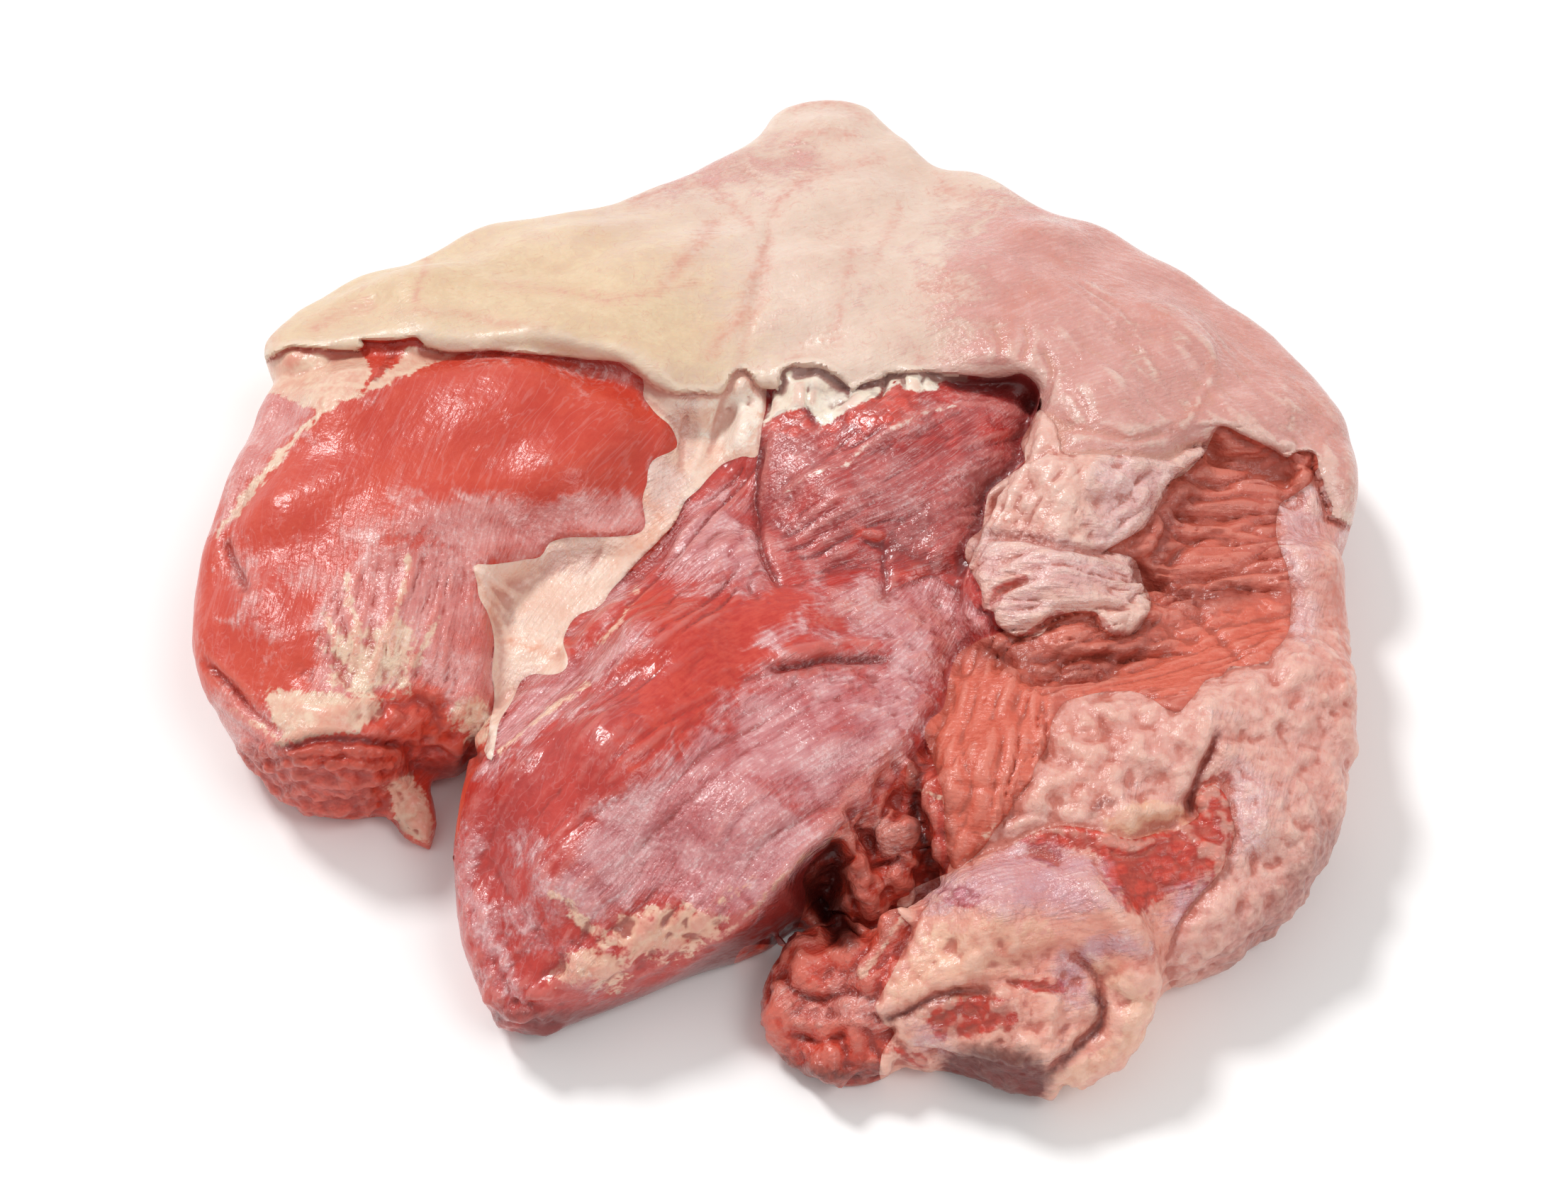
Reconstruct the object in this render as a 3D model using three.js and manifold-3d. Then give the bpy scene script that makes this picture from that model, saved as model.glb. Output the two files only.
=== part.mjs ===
// Raw beef brisket, lying bone side up on a flat table, as one solid. Millimetres, +Z up.
//
// The cut is several muscles held together by fat and skin-thin tissue. Each muscle or fat mass is
// a lobe: a closed outline in plan, a rounded shoulder, a side tucked in towards the table, and a
// top surface that runs through a few named heights. The lobes overlap and are joined, so the
// creases between them are the seams of the meat. A flat cut at z = 0 is where it lies.
// X runs along the fat cover's free edge, +Y points to the far tip of the fat.

import * as THREE from "three";
import { mergeVertices } from "three/addons/utils/BufferGeometryUtils.js";
import Module from "manifold-3d";

// Driving dimensions
const MESH_STEP = 10.5; // spacing of points along an outline
const RING_STEP = 11; // spacing of rings across a top surface
const CUT_BELOW = 5; // how far each lobe reaches under the table plane before the flat cut
const SHOULDER = 15; // radius of a lobe's upper edge
const TUCK = 12; // how far the foot of a side is drawn in under its belly
const HEIGHT_BLUR = 14; // distance over which neighbouring heights run into each other
const SWELL = 1.1; // height of the soft unevenness of a cut surface
const SWELL_LENGTH = 46; // length of one such swell
const BELLY = 0.3; // share of a side's height below which it is drawn in, and of the tuck left there
const SHOULDER_TURNS = [0, 0.3, 0.65]; // where rings lie round a shoulder, in quarter turns
const WIDEST_SHOULDER = 0.6; // largest share of the way to the middle that a shoulder takes
const FEWEST_RINGS = 2; // across the smallest top surface
const FEWEST_POINTS = 8; // on the innermost ring
const KNOB_SIDES = 14;
const KNOB_BANDS = 10;
const TABLE_WIDTH = 800; // wider than the meat, for the flat cut
const TABLE_DEPTH = 40;
const SAME_POINT = 1e-3; // points nearer to each other than this are one

// An outline point is [x, y, height of the shoulder], with the shoulder's radius after it where
// that differs from the lobe's own, and a crest point is [x, y, height]. Outlines run
// anticlockwise, seen from above. A lobe's rings close in on its middle.

// The fat cover over the far half: its tip, both far edges, the bulge at the right, the free edge.
const FAT_COVER = {
  shoulder: 20,
  middle: [30, 108],
  outline: [
    [222, -8, 48], [231, 10, 48], [232, 30, 48], [226, 52, 50], [212, 76, 52], [192, 99, 54],
    [168, 123, 54], [142, 145, 52], [115, 163, 50], [92, 190, 46], [71, 198, 42], [54, 223, 38],
    [38, 247, 33], [18, 254, 31], [-2, 248, 32], [-14, 220, 38], [-38, 199, 44], [-68, 178, 46],
    [-100, 160, 48], [-140, 145, 50], [-162, 127, 50], [-194, 108, 50], [-211, 88, 52],
    [-216, 62, 56, 10], [-204, 52, 66, 5], [-175, 55, 71, 5], [-140, 51, 75, 5],
    [-100, 50, 77, 5], [-70, 45, 76, 5], [-54, 35, 70, 5], [-38, 26, 63, 5], [-18, 38, 63, 5],
    [2, 36, 65, 5], [25, 38, 68, 5], [60, 38, 71, 5], [90, 39, 74, 5], [104, 30, 77, 6],
    [122, 12, 80, 8], [146, 4, 77, 8], [166, 8, 71, 8], [184, 8, 66, 8], [204, -2, 62, 8],
  ],
  crest: [
    [-150, 85, 73], [-60, 85, 71], [20, 85, 70], [90, 85, 73], [150, 55, 74], [198, 35, 64],
    [110, 45, 78], [20, 150, 56], [20, 205, 44], [-100, 120, 62], [110, 120, 64], [-180, 80, 64],
  ],
};

// The lump of fat that bulges out at the right, below the cover's corner.
const SIDE_BULGE = {
  outline: [
    [229, -12, 46], [232, 8, 48], [230, 28, 50], [212, 36, 56], [200, 10, 58], [203, -14, 54],
    [210, -29, 46], [221, -30, 44],
  ],
  crest: [[216, 2, 62]],
};

// The round muscle at the left, with its end cut square across the grain.
const LEFT_MUSCLE = {
  outline: [
    [-60, 62, 58], [-110, 72, 60], [-170, 72, 58], [-208, 58, 54], [-219, 25, 54],
    [-227, -15, 52], [-231, -50, 50], [-227, -85, 48], [-214, -110, 48], [-200, -126, 50],
    [-188, -138, 54, 6], [-162, -142, 56, 5], [-147, -136, 54, 6], [-138, -121, 46],
    [-114, -112, 42], [-110, -85, 47], [-112, -58, 52], [-92, -40, 50], [-54, -30, 46],
    [-42, 0, 48], [-44, 35, 52],
  ],
  crest: [
    [-170, 25, 74], [-110, 28, 75], [-72, 15, 68], [-192, -20, 70], [-140, -35, 74],
    [-90, -8, 69], [-195, -75, 63], [-150, -85, 66], [-166, -120, 61], [-127, -80, 60],
    [-126, -48, 66],
  ],
};

// The small end of muscle between the notch and the middle muscle.
const NOTCH_MUSCLE = {
  shoulder: 12,
  outline: [
    [-122, -82, 48], [-140, -98, 48], [-143, -114, 36], [-132, -123, 32], [-119, -116, 34],
    [-108, -98, 40],
  ],
  crest: [[-127, -102, 51]],
};

// The tongue of fat that hangs from the square cut end.
const FAT_TAG = {
  shoulder: 6,
  tuck: 3,
  outline: [
    [-138, -118, 20], [-156, -126, 18], [-146, -140, 15], [-138, -149, 12], [-131, -146, 12],
    [-132, -136, 14],
  ],
  crest: [[-142, -132, 17]],
};

// The long muscle in the middle, whose pointed end lies nearest.
const MIDDLE_MUSCLE = {
  outline: [
    [-8, 12, 48], [-30, -12, 48], [-60, -50, 48], [-90, -85, 47], [-112, -112, 44],
    [-120, -146, 42], [-121, -180, 38], [-114, -208, 34], [-97, -232, 28], [-80, -228, 36],
    [-55, -218, 44], [-30, -208, 49], [-5, -200, 52], [15, -182, 54], [35, -157, 56],
    [54, -130, 56], [64, -100, 52], [62, -62, 50], [42, -36, 50], [14, -8, 48],
  ],
  crest: [
    [-20, -50, 60], [-42, -100, 75], [-62, -148, 81], [-76, -192, 66], [0, -100, 64],
    [20, -130, 63], [-10, -165, 70], [-92, -150, 64], [40, -80, 54],
  ],
};

// The bed of fat and tissue between the muscles, low in the seam and in the gap at the near side.
const SEAM_BED = {
  outline: [
    [-60, 50, 46], [-108, 20, 44], [-118, -60, 40], [-118, -108, 34], [-60, -130, 34],
    [0, -170, 20], [14, -190, 16], [40, -196, 18], [62, -160, 22], [84, -100, 44],
    [92, -40, 46], [60, 30, 50], [0, 48, 50],
  ],
  crest: [[-40, 12, 47], [-88, -72, 42], [30, -60, 50], [35, -160, 20]],
};

// The thin sheet of tissue underneath, which every muscle lies on.
const UNDER_SHEET = {
  shoulder: 8,
  tuck: 4,
  outline: [
    [210, -80, 20], [200, -30, 20], [214, 20, 20], [198, 62, 20], [130, 120, 20],
    [60, 165, 18], [25, 222, 16], [-5, 210, 16], [-60, 150, 18], [-150, 112, 20],
    [-196, 70, 20], [-208, 0, 20], [-216, -50, 20], [-204, -96, 20], [-160, -122, 20],
    [-136, -92, 20], [-112, -96, 20], [-102, -140, 20], [-104, -188, 18], [-92, -214, 16],
    [-48, -196, 18], [8, -170, 15], [24, -222, 15], [60, -234, 16], [96, -236, 16],
    [130, -204, 18], [168, -184, 20], [204, -140, 20],
  ],
  crest: [[0, 0, 24]],
};

// The dark muscle in the middle, behind the pink hollow.
const INNER_MUSCLE = {
  shoulder: 12,
  outline: [
    [50, 62, 62], [-8, 52, 57], [-13, 20, 54], [-11, -20, 52], [5, -43, 54], [35, -52, 54],
    [60, -60, 47], [84, -64, 42], [96, -30, 44], [102, 10, 52], [106, 45, 62],
  ],
  crest: [[40, 18, 70], [20, -18, 67], [70, 12, 65], [62, -28, 57], [6, 14, 62]],
};

// The right-hand mass: wrinkled lean in its hollow, fat on its rim and round its near side.
const RIGHT_MASS = {
  outline: [
    [170, 40, 52], [100, 40, 52], [94, 0, 52], [84, -45, 50], [72, -76, 46], [61, -102, 50],
    [53, -132, 56], [53, -165, 52], [60, -188, 46], [78, -204, 40], [118, -215, 36],
    [150, -211, 38], [181, -192, 40], [203, -163, 42], [213, -124, 44], [218, -70, 44],
    [219, -28, 42], [208, 10, 46],
  ],
  crest: [
    [182, -12, 55], [158, -48, 51], [180, -62, 52], [204, -55, 64], [200, -108, 66],
    [130, -95, 53], [92, -112, 60], [76, -150, 65], [120, -132, 68], [152, -128, 70],
    [172, -158, 61], [118, -172, 62], [147, -184, 54],
  ],
};

// The thick flap folded over the inner muscle.
const FOLDED_FLAP = {
  shoulder: 13,
  tuck: 6,
  outline: [
    [135, 45, 74], [108, 40, 74], [98, 12, 73], [90, -12, 71], [77, -36, 68], [68, -62, 64],
    [76, -88, 59], [96, -96, 57], [122, -97, 56], [141, -90, 55], [143, -72, 58],
    [133, -58, 62], [146, -48, 58], [156, -24, 62], [170, 0, 66], [165, 30, 70],
  ],
  crest: [[110, -25, 82], [104, -64, 76], [130, -5, 80], [125, 20, 82], [120, -76, 68]],
};

// The fatty slab at the near right, and the ragged lean end beside it.
const NEAR_SLAB = {
  outline: [
    [110, -176, 58], [70, -180, 56], [48, -190, 46], [28, -206, 30], [22, -226, 26],
    [40, -241, 26], [62, -247, 28], [88, -256, 24], [108, -243, 28], [124, -226, 32],
    [144, -206, 42], [146, -190, 52],
  ],
  crest: [[72, -206, 63], [110, -204, 63], [80, -232, 46], [48, -218, 46]],
};

const RAGGED_END = {
  shoulder: 9,
  tuck: 6,
  outline: [
    [32, -194, 30], [12, -191, 24], [-4, -203, 22], [-8, -226, 20], [2, -238, 19],
    [20, -249, 17], [42, -243, 22], [50, -215, 32],
  ],
  crest: [[14, -220, 33], [30, -214, 36]],
};

// Round knobs: [x, y, height of the top, half width, half depth].
const GAP_KNOBS = [
  [10, -168, 33, 13, 11],
  [26, -174, 42, 12, 15],
  [42, -166, 47, 11, 16],
  [48, -143, 53, 10, 15],
];
const FAT_ENDS = [
  [-14, 20, 58, 12, 24],
  [8, 30, 67, 14, 15],
  [28, 25, 70, 12, 17],
  [52, 34, 73, 15, 10],
];

// The strip of fat that lies down the near right corner.
const FAT_STRIP = {
  radius: 8,
  sides: 10,
  steps: 16,
  route: [[90, -186, 48], [114, -203, 54], [125, -220, 38], [116, -237, 24], [101, -247, 13]],
};

const LEAN_COLOUR = "#bd5348";
const LEAN_ROUGHNESS = 0.42;

const wasm = await Module();
wasm.setup();

// A closed geometry as a solid that can be joined and cut.
function toSolid(geometry) {
  const bare = geometry.clone();
  bare.deleteAttribute("normal");
  bare.deleteAttribute("uv");
  const merged = mergeVertices(bare, SAME_POINT);
  return new wasm.Manifold(
    new wasm.Mesh({
      numProp: 3,
      vertProperties: new Float32Array(merged.attributes.position.array),
      triVerts: new Uint32Array(merged.index.array),
    }),
  );
}

// Three crossing waves that never repeat together: how much each rises towards x and y, how many
// of them fit in a swell's length, where each starts in radians, and what their sum is divided by.
const SWELL_WAVES = [
  { x: 1, y: 0.35, pace: 1, start: 0.6 },
  { x: -0.5, y: 1, pace: 1.3, start: 2.1 },
  { x: 1, y: -1.1, pace: 0.71, start: 4.0 },
];
const SWELL_SUM = 1.6;

// The soft unevenness of the surface.
function swell(x, y) {
  const turn = (2 * Math.PI) / SWELL_LENGTH;
  let sum = 0;
  for (const wave of SWELL_WAVES) {
    sum += Math.sin(turn * wave.pace * (wave.x * x + wave.y * y) + wave.start);
  }
  return (SWELL * sum) / SWELL_SUM;
}

// The value at (x, y) of what is named at spots: each counts by how near it is.
function blend(spots, x, y, valueOf) {
  let sum = 0;
  let weight = 0;
  for (const spot of spots) {
    const gap = (x - spot[0]) ** 2 + (y - spot[1]) ** 2 + HEIGHT_BLUR ** 2;
    const share = 1 / gap ** 2;
    sum += share * valueOf(spot);
    weight += share;
  }
  return sum / weight;
}

// A band of triangles between two rings that may have different numbers of points.
function stitch(faces, lower, upper) {
  let i = 0;
  let j = 0;
  while (i < lower.count || j < upper.count) {
    const a = lower.start + (i % lower.count);
    const b = upper.start + (j % upper.count);
    const lowerNext = (i + 1) / lower.count;
    const upperNext = (j + 1) / upper.count;
    if (j === upper.count || (i < lower.count && lowerNext <= upperNext)) {
      i += 1;
      faces.push(a, lower.start + (i % lower.count), b);
    } else {
      j += 1;
      faces.push(a, upper.start + (j % upper.count), b);
    }
  }
}

// One lobe as a stack of rings from its foot to the middle of its top.
function lobe({ outline, crest, middle, shoulder = SHOULDER, tuck = TUCK }) {
  const edge = new THREE.CatmullRomCurve3(
    outline.map(([x, y]) => new THREE.Vector3(x, y, 0)),
    true,
    "centripetal",
  );
  const length = edge.getLength();
  const rimPoints = (count) => edge.getSpacedPoints(count).slice(0, count);
  const fullCount = Math.round(length / MESH_STEP);
  const fullRim = rimPoints(fullCount);
  const hub = fullRim.reduce((sum, p) => sum.add(p), new THREE.Vector3());
  hub.divideScalar(fullCount);
  if (middle) {
    hub.set(...middle, 0);
  }
  const reach = Math.max(...fullRim.map((p) => p.distanceTo(hub)));
  const spots = [...outline, ...crest];
  const top = (p) => blend(spots, p.x, p.y, (spot) => spot[2]) + swell(p.x, p.y);
  const radiusAt = (p) => blend(outline, p.x, p.y, (spot) => spot[3] ?? shoulder);

  const points = [];
  const rings = [];
  const ring = (count, inset, height) => {
    rings.push({ start: points.length, count });
    for (const p of rimPoints(count)) {
      const span = p.distanceTo(hub);
      const radius = radiusAt(p);
      const inner = Math.min(radius / span, WIDEST_SHOULDER);
      const at = p.clone().lerp(hub, inset(span, inner));
      at.z = height(top(p.clone().lerp(hub, inner)), radius, at);
      points.push(at);
    }
  };

  ring(fullCount, (span) => tuck / span, () => -CUT_BELOW);
  ring(
    fullCount,
    (span) => (BELLY * tuck) / span,
    (edgeTop, radius) => BELLY * (edgeTop - radius),
  );
  for (const turn of SHOULDER_TURNS) {
    const inward = 1 - Math.cos((turn * Math.PI) / 2);
    const upward = Math.sin((turn * Math.PI) / 2);
    ring(
      fullCount,
      (span, inner) => inner * inward,
      (edgeTop, radius) => edgeTop - radius * (1 - upward),
    );
  }
  const ringCount = Math.max(FEWEST_RINGS, Math.round((reach - shoulder) / RING_STEP));
  for (let i = 0; i < ringCount; i++) {
    const share = i / ringCount;
    const left = (1 - shoulder / reach) * (1 - share);
    const count = Math.max(FEWEST_POINTS, Math.round(left * fullCount));
    ring(count, (span, inner) => inner + (1 - inner) * share, (edgeTop, radius, at) => top(at));
  }

  const faces = [];
  for (let r = 0; r + 1 < rings.length; r++) {
    stitch(faces, rings[r], rings[r + 1]);
  }
  const crown = points.push(new THREE.Vector3(hub.x, hub.y, top(hub))) - 1;
  const under = points.push(new THREE.Vector3(hub.x, hub.y, -CUT_BELOW)) - 1;
  stitch(faces, rings[rings.length - 1], { start: crown, count: 1 });
  stitch(faces, { start: under, count: 1 }, rings[0]);
  const closed = faces.filter((_, i) => {
    const [a, b, c] = faces.slice(i - (i % 3), i - (i % 3) + 3);
    return a !== b && b !== c && a !== c;
  });
  return toSolid(new THREE.BufferGeometry().setFromPoints(points).setIndex(closed));
}

// A knob: a ball stretched upright, so that it reaches down into the bed.
function knob([x, y, height, halfWidth, halfDepth]) {
  const ball = new THREE.SphereGeometry(1, KNOB_SIDES, KNOB_BANDS);
  ball.rotateX(Math.PI / 2);
  ball.scale(halfWidth, halfDepth, height / 2);
  ball.translate(x, y, height / 2);
  return toSolid(ball);
}

// A round strip along its route.
function strip({ radius, sides, steps, route }) {
  const path = new THREE.CatmullRomCurve3(route.map((p) => new THREE.Vector3(...p)));
  const section = new THREE.Shape();
  for (let k = 0; k < sides; k++) {
    const angle = (2 * Math.PI * k) / sides;
    const point = [radius * Math.cos(angle), radius * Math.sin(angle)];
    if (k === 0) {
      section.moveTo(...point);
    } else {
      section.lineTo(...point);
    }
  }
  section.closePath();
  return toSolid(new THREE.ExtrudeGeometry(section, { steps, extrudePath: path }));
}

function beefBrisket() {
  const lobes = [
    UNDER_SHEET, FAT_COVER, SIDE_BULGE, LEFT_MUSCLE, NOTCH_MUSCLE, FAT_TAG, MIDDLE_MUSCLE,
    SEAM_BED, INNER_MUSCLE, RIGHT_MASS, FOLDED_FLAP, NEAR_SLAB, RAGGED_END,
  ].map(lobe);
  const knobs = [...GAP_KNOBS, ...FAT_ENDS].map(knob);
  const [first, ...others] = [...lobes, ...knobs, strip(FAT_STRIP)];
  let meat = first;
  for (const piece of others) {
    meat = meat.add(piece);
  }

  const table = new THREE.BoxGeometry(TABLE_WIDTH, TABLE_WIDTH, TABLE_DEPTH);
  table.translate(0, 0, -TABLE_DEPTH / 2);
  meat = meat.subtract(toSolid(table));
  const [body] = meat.decompose().sort((a, b) => b.volume() - a.volume());

  const mesh = body.getMesh();
  const geometry = new THREE.BufferGeometry();
  geometry.setAttribute("position", new THREE.BufferAttribute(mesh.vertProperties, 3));
  geometry.setIndex(new THREE.BufferAttribute(mesh.triVerts, 1));
  geometry.computeBoundingBox();
  const centre = geometry.boundingBox.getCenter(new THREE.Vector3());
  geometry.translate(-centre.x, -centre.y, 0);
  geometry.computeVertexNormals();

  const brisket = new THREE.Mesh(
    geometry,
    new THREE.MeshStandardMaterial({ color: LEAN_COLOUR, roughness: LEAN_ROUGHNESS, metalness: 0 }),
  );
  brisket.name = "brisket";
  return brisket;
}

const part = new THREE.Group();
part.name = "raw_beef_brisket";
part.add(beefBrisket());

export default part;
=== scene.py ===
# %% [markdown]
# # A raw beef brisket
# This lesson dresses one piece of meat: a whole raw brisket that lies flat, with its red muscles up and its
# fat cover spread out behind them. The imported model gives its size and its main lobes. It is plain and
# faceted, so a copy of it becomes soft clay, and that clay is shaped, divided and coloured step by step.

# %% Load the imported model
import math
import bpy
import numpy as np
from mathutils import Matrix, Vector


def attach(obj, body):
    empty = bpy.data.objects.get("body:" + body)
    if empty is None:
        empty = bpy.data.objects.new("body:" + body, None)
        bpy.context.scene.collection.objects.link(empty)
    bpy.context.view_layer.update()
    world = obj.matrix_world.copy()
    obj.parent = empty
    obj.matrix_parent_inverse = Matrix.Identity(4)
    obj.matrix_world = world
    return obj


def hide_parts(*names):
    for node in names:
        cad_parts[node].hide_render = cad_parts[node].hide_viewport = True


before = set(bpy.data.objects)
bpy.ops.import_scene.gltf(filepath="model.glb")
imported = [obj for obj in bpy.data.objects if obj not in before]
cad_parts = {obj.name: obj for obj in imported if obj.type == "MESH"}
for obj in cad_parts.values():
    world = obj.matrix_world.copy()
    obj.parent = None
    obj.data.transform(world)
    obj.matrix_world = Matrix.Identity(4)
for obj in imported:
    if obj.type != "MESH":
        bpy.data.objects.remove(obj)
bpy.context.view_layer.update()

# %% [markdown]
# ## The camera
# The photo looks down on the meat at about 52 degrees, from just over a metre away. The camera comes first,
# because the tissues are laid out by where the photo shows them.

# %% Camera
PHOTO_WIDTH = 2212
PHOTO_HEIGHT = 1661
LENS = 60
SENSOR = 36
LOOK_DOWN = math.radians(52)
DISTANCE = 1.029
TARGET = Vector((-0.0007, -0.0452, 0.035))

ahead = Vector((0, math.cos(LOOK_DOWN), -math.sin(LOOK_DOWN)))
bpy.ops.object.camera_add(location=TARGET - DISTANCE * ahead, rotation=(math.pi / 2 - LOOK_DOWN, 0, 0))
camera = bpy.context.object
camera.data.lens = LENS
camera.data.sensor_width = SENSOR
camera.data.sensor_fit = "HORIZONTAL"
bpy.context.scene.camera = camera
print("The camera is at", [round(x, 3) for x in camera.location])

# %% [markdown]
# ## Photo places
# Borders and creases are read off the photo in pixels. To use them, each point of the meat is asked which
# pixel of the photo shows it. That is a projection: divide by the depth in front of the eye. The other way
# round, a pixel is a line of sight from the eye.

# %% Photo places
EYE = np.array(camera.location)
AHEAD = np.array(ahead)
UPWARD = np.array((0, math.sin(LOOK_DOWN), math.cos(LOOK_DOWN)))
FOCAL = PHOTO_WIDTH * LENS / SENSOR


def seen_at(places):
    """The photo pixel of each place, and how many mm of meat one pixel covers there."""
    away = places - EYE
    depth = away @ AHEAD
    across = PHOTO_WIDTH / 2 + FOCAL * away[:, 0] / depth
    down = PHOTO_HEIGHT / 2 - FOCAL * (away @ UPWARD) / depth
    return np.stack((across, down), 1), 1000 * depth / FOCAL


def sight(pixels):
    """Lines of sight through pixels, as steps that go one metre ahead."""
    across = (pixels[:, :1] - PHOTO_WIDTH / 2) / FOCAL
    down = (pixels[:, 1:] - PHOTO_HEIGHT / 2) / FOCAL
    return AHEAD + across * np.array((1, 0, 0)) - down * UPWARD


target_pixel, pixel_size = seen_at(np.array([TARGET]))
print("The target is at pixel", target_pixel[0].round(), "where a pixel covers", pixel_size.round(3), "mm")

# %% [markdown]
# ## Uneven in a natural way
# Meat has no straight line and no even surface. Two helpers give it that: smooth noise, made from random
# numbers at the corners of a grid with soft steps between them, and a curve through a few chosen points.
# The random numbers come from a fixed rule, so that every run makes the same brisket.

# %% Noise and curves
HASH_STEPS = (73856093, 19349663, 83492791)
HASH_STIR = 1274126177
HASH_TOP = 65535


def noise(places, size, seed=0):
    """Smooth noise from -1 to 1 with bumps about size apart, in the unit of places."""
    spread = places / size + seed * 13.7
    cell = np.floor(spread).astype(np.int64)
    part = spread - cell
    part = part * part * (3 - 2 * part)
    total = np.zeros(len(places))
    for corner in np.ndindex(*(2,) * places.shape[1]):
        mixed = np.zeros(len(places), np.int64)
        share = np.ones(len(places))
        for axis, step in enumerate(corner):
            mixed ^= (cell[:, axis] + step) * HASH_STEPS[axis]
            share = share * (part[:, axis] if step else 1 - part[:, axis])
        mixed = (mixed & 0xFFFFFF) * HASH_STIR
        total += share * (((mixed >> 13) & HASH_TOP) / HASH_TOP * 2 - 1)
    return total


def rough_noise(places, size, seed=0, layers=3):
    """Noise with finer, weaker noise on it."""
    total = np.zeros(len(places))
    for layer in range(layers):
        total += noise(places, size / 2**layer, seed + layer) / 2**layer
    return total / 1.5


def curved(points, closed=True, step=7):
    """A smooth line through chosen points, with a point about every step pixels."""
    points = np.array(points, float)
    before = np.roll(points, 1, 0)
    after = np.roll(points, -1, 0)
    beyond = np.roll(points, -2, 0)
    if not closed:
        before[0] = points[0]
        after[-1] = points[-1]
        beyond[-2:] = points[-1]
    line = []
    for a, b, c, d in zip(before, points, after, beyond):
        count = max(1, round(np.linalg.norm(c - b) / step))
        t = np.arange(count)[:, None] / count
        bend = (2 * a - 5 * b + 4 * c - d) * t**2 + (3 * b - a - 3 * c + d) * t**3
        line.append(b + 0.5 * ((c - a) * t + bend))
    return np.concatenate(line)


def wavering(line, amount=2.0, size=22):
    """The same line, but less even: each point moves a few pixels."""
    return line + amount * np.stack((noise(line, size, 1), noise(line, size, 2)), 1)


print("A curve through 4 points has", len(curved([(0, 0), (90, 0), (90, 90), (0, 90)])), "points")

# %% [markdown]
# ## The pieces and their outlines
# One brisket is several tissues that lie on and beside each other. Each outline below goes round one of
# them in the photo. They are listed from the top down: where two outlines overlap, the one that comes first
# lies on top, so a lower one may run loosely underneath it or out past the meat.

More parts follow.
